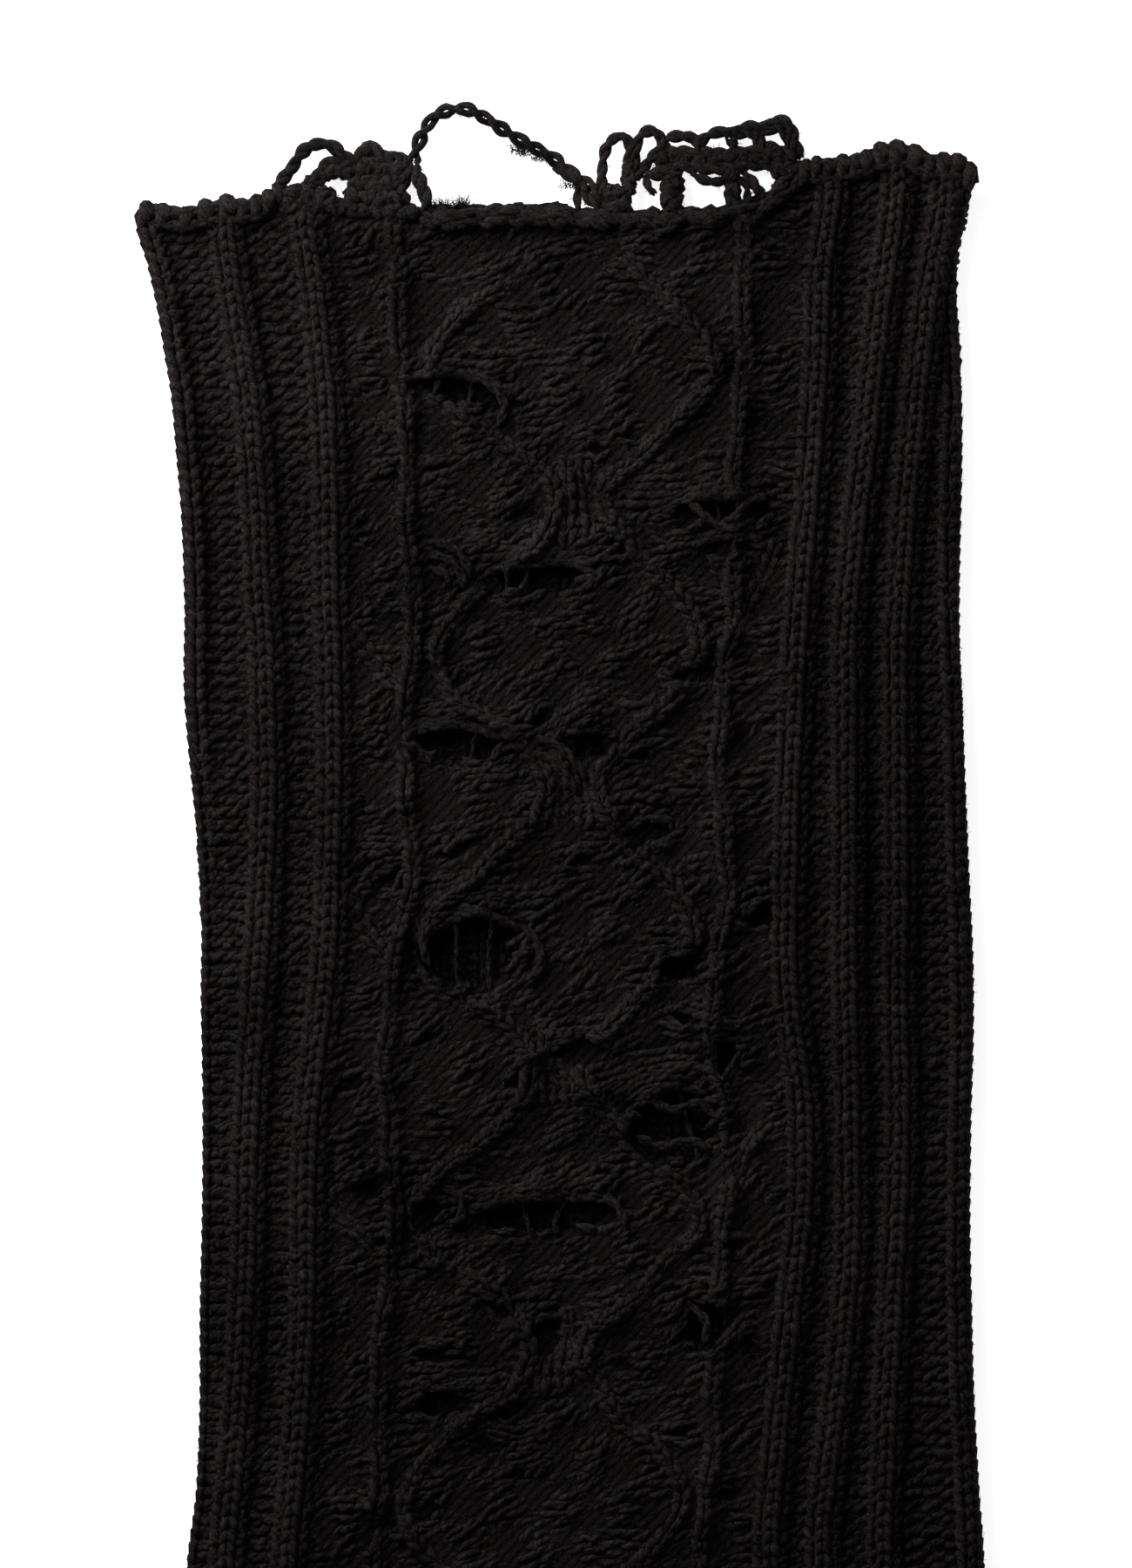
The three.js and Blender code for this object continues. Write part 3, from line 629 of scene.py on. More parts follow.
def ring_form(sides: int, rings: int) -> Grain:
    """Makes the form of a long strand with even rings and a point at each end.

    Args:
        sides: corners of each ring.
        rings: how many rings it has.

    Returns:
        The form.
    """
    angle = 2 * np.pi * np.arange(sides) / sides
    ring = np.stack([np.cos(angle), np.sin(angle)], axis=1)
    corners = np.vstack([np.tile(ring, (rings, 1)), [[0, 0], [0, 0]]])
    level_of = np.concatenate([np.repeat(np.arange(rings), sides), [0, rings - 1]])
    loops: list[int] = []
    totals: list[int] = []
    around: list[float] = []
    for k in range(rings - 1):
        for i in range(sides):
            n = (i + 1) % sides
            loops += [k * sides + i, k * sides + n, (k + 1) * sides + n, (k + 1) * sides + i]
            around += [i / sides, (i + 1) / sides, (i + 1) / sides, i / sides]
            totals.append(4)
    first, last = rings * sides, rings * sides + 1
    for i in range(sides):
        n = (i + 1) % sides
        loops += [first, n, i, last, (rings - 1) * sides + i, (rings - 1) * sides + n]
        around += [i / sides, (i + 1) / sides, i / sides, i / sides, i / sides, (i + 1) / sides]
        totals += [3, 3]
    levels = np.linspace(0, 1, rings)
    return Grain(levels, corners, level_of, np.array(loops), np.array(totals), np.array(around))


@dataclass(frozen=True)
class Wool:
    """The finish of the dyed wool: its colours, its sheen and the grain of its fibres."""

    name: str
    dark: tuple[float, float, float]
    light: tuple[float, float, float]
    sheen: float = 0.012
    specular: float = 0.03
    roughness: float = 0.9
    fibre_bump: float = 1.0
    felt_bump: float = 0.8
    ply_bump: float = 0.8
    # painted shade in the grooves between the plies
    ply_painted_shade: float = 0.32
    ply_turn: float = 5.2
    fibre_shade: float = 2.4
    felt_shade: float = 2.4
    patch_shade: float = 0.9
    tone_shade: float = 0.2
    groove_middle: float = 0.64
    middle_light: float = 0.38
    cool: tuple[float, float, float] = (0.9, 0.96, 0.98)
    warm: tuple[float, float, float] = (1.0, 0.91, 0.86)

    def material(self) -> bpy.types.Material:
        """Builds the material.

        Returns:
            The new material.
        """
        material = bpy.data.materials.new(self.name)
        material.use_nodes = True
        nodes, links = material.node_tree.nodes, material.node_tree.links
        shader = nodes["Principled BSDF"]
        shader.inputs["Roughness"].default_value = self.roughness
        shader.inputs["Specular IOR Level"].default_value = self.specular
        shader.inputs["Sheen Weight"].default_value = self.sheen
        shader.inputs["Sheen Roughness"].default_value = 0.45
        shader.inputs["Sheen Tint"].default_value = (1.0, 0.93, 0.9, 1.0)

        yarn = nodes.new("ShaderNodeUVMap")
        yarn.uv_map = "yarn"
        place = nodes.new("ShaderNodeTexCoord").outputs["Object"]
        tone_and_shade = nodes.new("ShaderNodeAttribute")
        tone_and_shade.attribute_name = "tone_and_shade"

        along = nodes.new("ShaderNodeSeparateXYZ")
        links.new(yarn.outputs["UV"], along.inputs["Vector"])
        turned = self.maths(nodes, "MULTIPLY_ADD", 1 / self.ply_turn)
        links.new(along.outputs["X"], turned.inputs[0])
        links.new(along.outputs["Y"], turned.inputs[2])
        wound = nodes.new("ShaderNodeCombineXYZ")
        links.new(along.outputs["X"], wound.inputs["X"])
        links.new(turned.outputs[0], wound.inputs["Y"])
        stretch = nodes.new("ShaderNodeMapping")
        stretch.inputs["Scale"].default_value = (0.42, 9.5, 1.0)
        links.new(wound.outputs["Vector"], stretch.inputs["Vector"])
        fibres = self.noise(nodes, links, stretch.outputs["Vector"], scale=2.1, detail=4.0, rough=0.6)

        phase = self.maths(nodes, "MULTIPLY", 2 * math.pi)
        links.new(turned.outputs[0], phase.inputs[0])
        plies = self.maths(nodes, "SINE")
        links.new(phase.outputs[0], plies.inputs[0])
        groove = self.maths(nodes, "ABSOLUTE")
        links.new(plies.outputs[0], groove.inputs[0])

        felt = self.noise(nodes, links, place, scale=2000.0, detail=2.0, rough=0.75, distortion=0.8)
        patches = self.noise(nodes, links, place, scale=38.0, detail=3.0)
        # grain and random tone, with painted shade from the ply grooves and from the per-stitch attribute
        shade = self.summed(nodes, links, (
            (fibres, self.fibre_shade, 0.5),
            (felt, self.felt_shade, 0.5),
            (patches, self.patch_shade, 0.5),
            (tone_and_shade.outputs["Fac"], self.tone_shade, 0.5),
            (groove.outputs[0], self.ply_painted_shade, self.groove_middle),
        ))
        both = zip(self.dark, self.light)
        middle = tuple((1 - self.middle_light) * low + self.middle_light * high for low, high in both)
        dyes = self.ramp(nodes, links, shade, ((0.0, self.dark), (0.5, middle), (1.0, self.light)))
        dye = self.noise(nodes, links, place, scale=260.0, detail=3.0)
        hues = self.ramp(nodes, links, dye, ((0.36, self.cool), (0.64, self.warm)))
        dyed = nodes.new("ShaderNodeMix")
        dyed.data_type = "RGBA"
        dyed.blend_type = "MULTIPLY"
        dyed.inputs["Factor"].default_value = 1.0
        links.new(dyes, dyed.inputs["A"])
        links.new(hues, dyed.inputs["B"])
        links.new(dyed.outputs["Result"], shader.inputs["Base Color"])

        normal = None
        for height, strength, distance in (
            (fibres, self.fibre_bump, 0.4),
            (felt, self.felt_bump, 0.4),
            (groove.outputs[0], self.ply_bump, 0.35),
        ):
            bump = nodes.new("ShaderNodeBump")
            bump.inputs["Strength"].default_value = strength
            bump.inputs["Distance"].default_value = distance * MM
            links.new(height, bump.inputs["Height"])
            if normal is not None:
                links.new(normal, bump.inputs["Normal"])
            normal = bump.outputs["Normal"]
        links.new(normal, shader.inputs["Normal"])
        return material

    @staticmethod
    def maths(nodes: bpy.types.Nodes, operation: str, second: float | None = None) -> bpy.types.Node:
        """Adds a maths node, with its second value if it has one.

        Args:
            nodes: the material's nodes.
            operation: what the node works out.
            second: its second value.

        Returns:
            The new node.
        """
        node = nodes.new("ShaderNodeMath")
        node.operation = operation
        if second is not None:
            node.inputs[1].default_value = second
        return node

    @staticmethod
    def noise(
        nodes: bpy.types.Nodes,
        links: bpy.types.NodeLinks,
        place: bpy.types.NodeSocket,
        scale: float,
        detail: float,
        rough: float = 0.5,
        distortion: float = 0.0,
    ) -> bpy.types.NodeSocket:
        """Adds a noise pattern.

        Args:
            nodes: the material's nodes.
            links: the material's links.
            place: where the pattern is read.
            scale: how fine it is.
            detail: how many finer layers it has.
            rough: how strong they are.
            distortion: how far it swirls.

        Returns:
            The socket that gives the pattern.
        """
        node = nodes.new("ShaderNodeTexNoise")
        node.inputs["Scale"].default_value = scale
        node.inputs["Detail"].default_value = detail
        node.inputs["Roughness"].default_value = rough
        node.inputs["Distortion"].default_value = distortion
        links.new(place, node.inputs["Vector"])
        return node.outputs["Fac"]

    @staticmethod
    def ramp(
        nodes: bpy.types.Nodes,
        links: bpy.types.NodeLinks,
        share: bpy.types.NodeSocket,
        stops: tuple[tuple[float, tuple[float, ...]], ...],
    ) -> bpy.types.NodeSocket:
        """Adds a run of colours.

        Args:
            nodes: the material's nodes.
            links: the material's links.
            share: the socket that picks the colour.
            stops: places and colours along the run.

        Returns:
            The socket that gives the colour.
        """
        node = nodes.new("ShaderNodeValToRGB")
        run = node.color_ramp.elements
        for place, colour in stops[1:-1]:
            run.new(place).color = (*colour, 1)
        for stop, (place, colour) in ((run[0], stops[0]), (run[-1], stops[-1])):
            stop.position = place
            stop.color = (*colour, 1)
        links.new(share, node.inputs["Fac"])
        return node.outputs["Color"]

    @staticmethod
    def summed(
        nodes: bpy.types.Nodes,
        links: bpy.types.NodeLinks,
        parts: tuple[tuple[bpy.types.NodeSocket, float, float], ...],
    ) -> bpy.types.NodeSocket:
        """Adds several patterns round a middle of one half.

        Args:
            nodes: the material's nodes.
            links: the material's links.
            parts: each pattern with its weight and its own middle.

        Returns:
            The socket that gives the sum.
        """
        last = None
        start = 0.5 - sum(weight * middle for _, weight, middle in parts)
        for socket, weight, _ in parts:
            step = nodes.new("ShaderNodeMath")
            step.operation = "MULTIPLY_ADD"
            step.inputs[1].default_value = weight
            step.inputs[2].default_value = start
            links.new(socket, step.inputs[0])
            if last is not None:
                links.new(last, step.inputs[2])
            last = step.outputs[0]
        return last


def soft_v(levels: Array, sink: float, end: float | None = None) -> Array:
    """How deep each level of a stitch lies, with both ends tucked under.

    Args:
        levels: the levels, from 0 to 1.
        sink: how deep the first end lies.
        end: how deep the last end lies, or None for as deep as the first.

    Returns:
        The depth at each level.
    """
    deep = np.where(levels < 0.5, sink, sink if end is None else end)
    return deep * np.abs(2 * levels - 1) ** 2.2


def chain(
    line: Array, pitch: float, spread: tuple[float, float], reach: float, levels: Array
) -> Array:
    """Lays V stitches along a line in a plane, open towards its start.

    Args:
        line: corners of the line.
        pitch: distance from stitch to stitch.
        spread: how far the legs stand from the line, at the closed and the open end.
        reach: length of a leg.
        levels: levels of the grain that will be bent.

    Returns:
        The middle of each leg at each level, in the plane.
    """
    steps = np.hypot(*np.diff(line, axis=0).T)
    run = np.concatenate([[0.0], np.cumsum(steps)])
    count = max(1, int(round((run[-1] - reach) / pitch)) + 1)
    at = np.linspace(reach / 2, max(run[-1] - reach / 2, reach / 2), count)
    pos = at[:, None] + (levels - 0.5)[None, :] * reach
    small = 0.4
    place = np.stack([np.interp(pos, run, line[:, i]) for i in (0, 1)], axis=-1)
    ahead = np.stack([np.interp(pos + small, run, line[:, i]) for i in (0, 1)], axis=-1)
    behind = np.stack([np.interp(pos - small, run, line[:, i]) for i in (0, 1)], axis=-1)
    way = ahead - behind
    way /= np.maximum(np.linalg.norm(way, axis=-1, keepdims=True), 1e-9)
    lateral = np.stack([way[..., 1], -way[..., 0]], axis=-1)
    ease = levels * levels * (3 - 2 * levels)
    off = (spread[1] + (spread[0] - spread[1]) * ease)[None, :, None]
    return np.concatenate([place - lateral * off, place + lateral * off])


@dataclass(frozen=True)
class Lie:
    """How slanted strands lie: their length, their pitches, their slopes and their yarn."""

    length: float
    pitch: float
    row: float
    row_slope: float
    slope: Callable[[Array, Array], Array]
    radius: float
    wave: float = 0.35
    sink: float = 0.9
    end_sink: float = 0.35


@dataclass
class Stitches:
    """Lays every kind of stitch on the map of the leg warmer."""

    leg: LegMap = LEG
    row: float = 2.85
    yarn: float = 1.02
    reach: float = 4.3
    proud: float = 0.25
    bump_half: float = 1.45
    detail_to: float = 322.0
    scattered: int = 44
    rng: np.random.Generator = field(default_factory=lambda: np.random.default_rng(SEED))

    def __post_init__(self) -> None:
        """Models the grains, fine for what shows most and plain for the rest, and scatters small gaps."""
        self.fine = model_grain(5, (0.2, 0.5, 0.8), tip=0.45)
        self.long = model_grain(5, (0.27, 0.73), tip=0.66)
        self.plain = model_grain(4, (0.5,), tip=0.62)
        self.simple = model_grain(3, (0.5,), tip=0.62)
        self.bump = model_grain(5, (0.28, 0.72), tip=0.72)
        self.gaps = np.vstack([HOLES, PARTINGS, self.small_gaps()])

    def small_gaps(self) -> Array:
        """Scatters small gaps between the strands of the lace, away from the holes.

        Returns:
            Their rows, in the form of the table of holes.
        """
        rng = np.random.default_rng(SEED + 3)
        s = rng.uniform(34, 430, self.scattered * 2)
        left, right = self.leg.station("l2", s) + 6, self.leg.station("r2", s) - 6
        x = left + (right - left) * rng.random(len(s))
        known = np.vstack([HOLES, PARTINGS])
        clear = self.leg.torn(x, s, known) > 2.2
        clear &= np.abs(x - self.leg.station("l3", s)) > 4
        clear &= np.abs(x - self.leg.station("r3", s)) > 4
        x, s = x[clear][:self.scattered], s[clear][:self.scattered]
        sizes = rng.uniform((4.5, 3.0), (9.0, 4.4), (len(x), 2))
        return np.column_stack([x, s, sizes, rng.normal(14, 8, len(x))])

    def tones(self, count: int) -> Array:
        """Random lightness for each stitch."""
        return self.rng.random(count)

    def on_front(self, flat: Array, radius: float, sink: Array, lift: float = 0.0) -> Array:
        """Sets stitches that are laid out flat on the front's outer face.

        Args:
            flat: x and s of each stitch at each level.
            radius: half of the yarn's width.
            sink: how deep each level lies.
            lift: how far the stitches stand above the face.

        Returns:
            Places in the frame.
        """
        x, s = self.leg.parted(flat[..., 0], flat[..., 1], self.gaps)
        z = self.leg.height(x, s) + self.leg.relief(x, s) - radius + self.proud + lift - sink
        x, s = self.leg.wavy(x, s)
        return self.leg.point(x, s, z)

    def whole(self, flat: Array) -> NDArray[np.bool_]:
        """Tells which stitches aren't in a hole.

        Args:
            flat: places of x and s along each stitch.

        Returns:
            True for each stitch that is kept.
        """
        middle = flat[:, flat.shape[1] // 2]
        ends = np.minimum(
            self.leg.torn(flat[:, 0, 0], flat[:, 0, 1]), self.leg.torn(flat[:, -1, 0], flat[:, -1, 1])
        )
        rim = self.rng.uniform(0.72, 1.0, len(flat))
        return (self.leg.torn(middle[:, 0], middle[:, 1]) > rim) & (ends > 0.3)

    def lay(
        self,
        bundle: YarnBundle,
        flat_of: Callable[[Grain], Array],
        fine: Grain,
        radius: float,
        sink: float,
        lift: float = 0.0,
        upright: tuple[float, float, float] = (0.0, 0.0, 1.0),
        end: float | None = None,
        uneven: float = 0.12,
    ) -> None:
        """Lays stitches on the front, finer where the cloth shows most.

        Args:
            bundle: gathers them.
            flat_of: gives their flat places for a grain.
            fine: the grain for the upper part.
            radius: half of the yarn's width.
            sink: how deep the ends lie.
            lift: how far they stand above the face.
            upright: a direction that no stitch runs along.
            end: how deep the last end of each lies, where it differs.
            uneven: how much they differ in height.
        """
        state = self.rng.bit_generator.state
        for grain, upper in ((fine, True), (self.plain, False)):
            self.rng.bit_generator.state = state
            flat = flat_of(grain)
            mid_s = flat[:, flat.shape[1] // 2, 1]
            keep = self.whole(flat) & ((mid_s < self.detail_to) == upper)
            flat = flat[keep]
            paths = self.on_front(flat, radius, soft_v(grain.levels, sink, end)[None, :], lift)
            paths[..., 2] += self.rng.normal(0, uneven, (len(flat), 1))
            thick = radius * self.rng.normal(1, 0.08, (len(flat), 1))
            thick = thick * self.rng.normal(1, 0.05, paths.shape[:2])
            middle = flat[:, flat.shape[1] // 2]
            # random tone, lowered by the painted shade in the trough on the right of each rib
            tone_and_shade = self.tones(len(flat)) - 1.5 * self.leg.painted_foot_shade(middle[:, 0], middle[:, 1])
            bundle.add(grain, paths, thick, tone_and_shade, upright)

    def wale(self, bundle: YarnBundle, line: Array, spread: tuple[float, float], lift: float = 0.0) -> None:
        """Lays one wale of V stitches on the front along a line of x and s.

        Args:
            bundle: gathers the stitches.
            line: the places along it.
            spread: how far the legs of a V stand from its middle, at foot and top.
            lift: how far it stands above the face.
        """

        def flat_of(grain: Grain) -> Array:
            """Flat places of the legs."""
            flat = chain(line, self.row, spread, self.reach, grain.levels)
            return flat + self.rng.normal(0, 0.09, (len(flat), 1, 2))

        self.lay(bundle, flat_of, self.fine, self.yarn, 0.95, lift, uneven=0.1)

    def rib(self, bundle: YarnBundle, rib: Rib, pitch: float = 3.85) -> None:
        """Lays the wales of one rib.

        Args:
            bundle: gathers the stitches.
            rib: the rib.
            pitch: distance between its wales.
        """
        s = np.arange(8.0, self.leg.cloth_end + 1, 2.0)
        middle = self.leg.station(rib.name, s)
        if rib.name == "l0":
            middle = self.leg.station("left", s) + 2.7 - 0.9 * fade(128, 176, s)
            s = s[s < 182]
            middle = middle[: len(s)]
        if rib.name == "rf":
            middle = middle + (self.leg.station("right", s) - 1.6 - middle) * (1 - fade(40, 80, s))
        for k in range(rib.wales):
            x = middle + (k - (rib.wales - 1) / 2) * pitch
            top = self.leg.front_top(x) + self.leg.edge_width * 0.6
            kept = s > top
            self.wale(bundle, np.stack([x[kept], s[kept]], axis=1), (0.5, 1.45))

    def purl(
        self,
        bundle: YarnBundle,
        start: Callable[[Array], Array],
        end: Callable[[Array], Array],
        wales: int,
    ) -> None:
        """Fills a trough with purl bumps.

        Args:
            bundle: gathers them.
            start: x of the trough's left side at s.
            end: x of its right side.
            wales: how many purl wales lie in it.
        """
        rows = np.arange(10.0, self.leg.cloth_end, self.row / 2)

        def flat_of(grain: Grain) -> Array:
            """Flat places of the bumps.

            Args:
                grain: the form of each bump.

            Returns:
                The places.
            """
            t = grain.levels[None, :]
            found = []
            for k, s in enumerate(rows):
                a, b = float(start(np.array(s))), float(end(np.array(s)))
                wide = (b - a) / wales
                heads = k % 2 == 0
                x = a + wide * (np.arange(wales) + 0.5) if heads else a + wide * np.arange(wales + 1)
                x = x[s > self.leg.front_top(x) + self.leg.edge_width * 0.7]
                half = self.bump_half * self.rng.uniform(0.9, 1.15, (len(x), 1))
                arch = (0.45 if heads else -0.45) * (1 - (2 * t - 1) ** 2)
                tilt = self.rng.normal(0.28, 0.28, (len(x), 1)) * (2 * t - 1) * half
                found.append(np.stack([x[:, None] + (2 * t - 1) * half, s + 0.2 - arch - tilt], axis=-1))
            flat = np.concatenate(found)
            return flat + self.rng.normal(0, 0.2, (len(flat), 1, 2))

        self.lay(bundle, flat_of, self.bump, 1.0, 0.75, upright=(0.0, 1.0, 0.0), uneven=0.2)

    def strands(
        self,
        bundle: YarnBundle,
        start: Callable[[Array], Array],
        end: Callable[[Array], Array],
        lie: Lie,
    ) -> None:
        """Fills an open part with slanted strands, each tucked under the next one of its row.

        Args:
            bundle: gathers them.
            start: x of the part's left side at s.
            end: x of its right side.
            lie: how the strands lie.
        """
        rows = np.arange(12.0, self.leg.cloth_end + 6, lie.row)
        centre = float(self.leg.middle(np.array(200.0)))

        def flat_of(grain: Grain) -> Array:
            """Flat places of the strands.

            Args:
                grain: the form of each strand.

            Returns:
                The places.
            """
            t = grain.levels[None, :] - 0.5
            found = []
            for row in rows:
                a = float(start(np.array(row)))
                b = float(end(np.array(row)))
                offset = self.rng.random() * lie.pitch
                x = np.arange(a + offset - 0.5 * lie.pitch, b, lie.pitch)
                x = np.clip(x + self.rng.normal(0, 0.4, len(x)), a + 0.4, b - 0.4)
                s = row - (x - centre) * math.tan(math.radians(lie.row_slope))
                s = s + 1.3 * np.sin(x * 0.11 + row * 0.07) + self.rng.normal(0, 0.22, len(x))
                turn = np.radians(lie.slope(x, s) + self.rng.normal(0, 8.0, len(x)))
                long = lie.length * (1 + self.rng.normal(0, 0.18, len(x)))
                kept = s > self.leg.front_top(x) + self.leg.edge_width * 0.6
                kept &= (s < self.leg.cloth_end - 1) & (x > start(s) - 0.5) & (x < end(s) + 0.5)
                x, s, turn, long = x[kept, None], s[kept, None], turn[kept, None], long[kept, None]
                along = t * long
                wave = lie.wave * self.rng.uniform(0.3, 1.5, x.shape) * np.sin(2 * np.pi * (t + 0.5))
                px = x + along * np.cos(turn) + wave * np.sin(turn)
                ps = s - along * np.sin(turn) + wave * np.cos(turn)
                found.append(np.stack([px, ps], axis=-1))
            return np.concatenate(found)

        self.lay(bundle, flat_of, self.long, lie.radius, lie.sink, end=lie.end_sink, uneven=0.2)

    def side_wale(self, bundle: YarnBundle, fold: str, inwards: float, z: float, grain: Grain) -> None:
        """Lays a wale of V stitches on the side of a fold, facing out.

        Args:
            bundle: gathers the stitches.
            fold: left or right.
            inwards: how far inside the fold it lies.
            z: its height.
            grain: the form of its stitches.
        """
        out = -1.0 if fold == "left" else 1.0
        s = np.arange(23.5 if fold == "left" else 16.5, self.leg.cloth_end, 2.0)
        line = np.stack([np.full_like(s, z), s], axis=1)
        flat = chain(line, self.row, (0.4, 1.1), self.reach, grain.levels)
        flat = flat + self.rng.normal(0, 0.08, (len(flat), 1, 2))
        deep = soft_v(grain.levels, 0.7)[None, :]
        x = self.leg.station(fold, flat[..., 1]) - out * (inwards + deep)
        paths = self.leg.point(x, flat[..., 1], flat[..., 0])
        bundle.add(grain, paths, 1.12 * self.yarn, self.tones(len(flat)), (1.0, 0.0, 0.0))


def curve_through(points: Array, step: float) -> Array:
    """Draws a smooth line through places, with even steps.

    Args:
        points: places to pass.
        step: distance between the places returned.

    Returns:
        The line's places.
    """
    ends = np.vstack([2 * points[0] - points[1], points, 2 * points[-1] - points[-2]])
    found = []
    for k in range(1, len(ends) - 2):
        p0, p1, p2, p3 = ends[k - 1:k + 3]
        t = np.linspace(0, 1, 24, endpoint=False)[:, None]
        found.append(0.5 * (2 * p1 + (p2 - p0) * t + (2 * p0 - 5 * p1 + 4 * p2 - p3) * t ** 2
                            + (3 * p1 - p0 - 3 * p2 + p3) * t ** 3))
    line = np.vstack([*found, ends[-2][None, :]])
    run = np.concatenate([[0.0], np.cumsum(np.linalg.norm(np.diff(line, axis=0), axis=1))])
    at = np.linspace(0, run[-1], max(4, int(run[-1] / step)))
    return np.stack([np.interp(at, run, line[:, i]) for i in range(line.shape[1])], axis=1)


class Twist(Enum):
    """How two plies wind: each one's share of the width, how far it stands off, and a turn's length."""

    OPEN = (0.6, 0.68, 9.0)
    DENSE = (0.72, 0.42, 7.4)


def twisted(
    bundle: YarnBundle,
    line: Array,
    radius: float,
    rng: np.random.Generator,
    twist: Twist = Twist.DENSE,
    sides: int = 6,
) -> None:
    """Lays plied yarn along a line: two plies that wind round each other.

    Args:
        bundle: gathers them.
        line: places along the yarn's middle.
        radius: half of the yarn's width.
        rng: gives the start of the twist and the tones.
        twist: how the plies wind.
        sides: corners round a ply.
    """
    share, stand, turn = twist.value
    run = np.gradient(line, axis=0)
    run /= np.maximum(np.linalg.norm(run, axis=1, keepdims=True), 1e-9)
    side = np.cross(np.array([0.0, 0.0, 1.0]), run)
    side /= np.maximum(np.linalg.norm(side, axis=1, keepdims=True), 1e-9)
    up = np.cross(run, side)
    far = np.concatenate([[0.0], np.cumsum(np.linalg.norm(np.diff(line, axis=0), axis=1))])
    start = rng.random() * 2 * np.pi
    thick = radius * (1 + 0.08 * np.sin(far * 0.9 + start) + 0.05 * np.sin(far * 2.3 + 2 * start))
    ends = np.clip(np.minimum(far, far[-1] - far) / (1.2 * radius), 0.35, 1)
    for k in (0, 1):
        angle = start + 2 * np.pi * (far / turn + k / 2)
        out = stand * thick[:, None]
        centre = line + out * (np.cos(angle)[:, None] * side + 0.7 * np.sin(angle)[:, None] * up)
        bundle.add(ring_form(sides, len(line)), centre[None], (share * thick * ends)[None], rng.random(1))


class Piece:
    """A finished piece of the scene."""

    @staticmethod
    def settle(piece: bpy.types.Object, slot: Slot, *nodes: str) -> bpy.types.Object:
        """Gives a piece its body and hides the solids that it stands for.

        Args:
            piece: the object.
            slot: the record's slot of its finish; not used.
            nodes: the solids that it replaces.

        Returns:
            The same object.
        """
        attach(piece, "root")
        if nodes:
            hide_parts(*nodes)
        piece.data.calc_loop_triangles()
        LOG.info("%s: %d triangles", piece.name, len(piece.data.loop_triangles))
        return piece


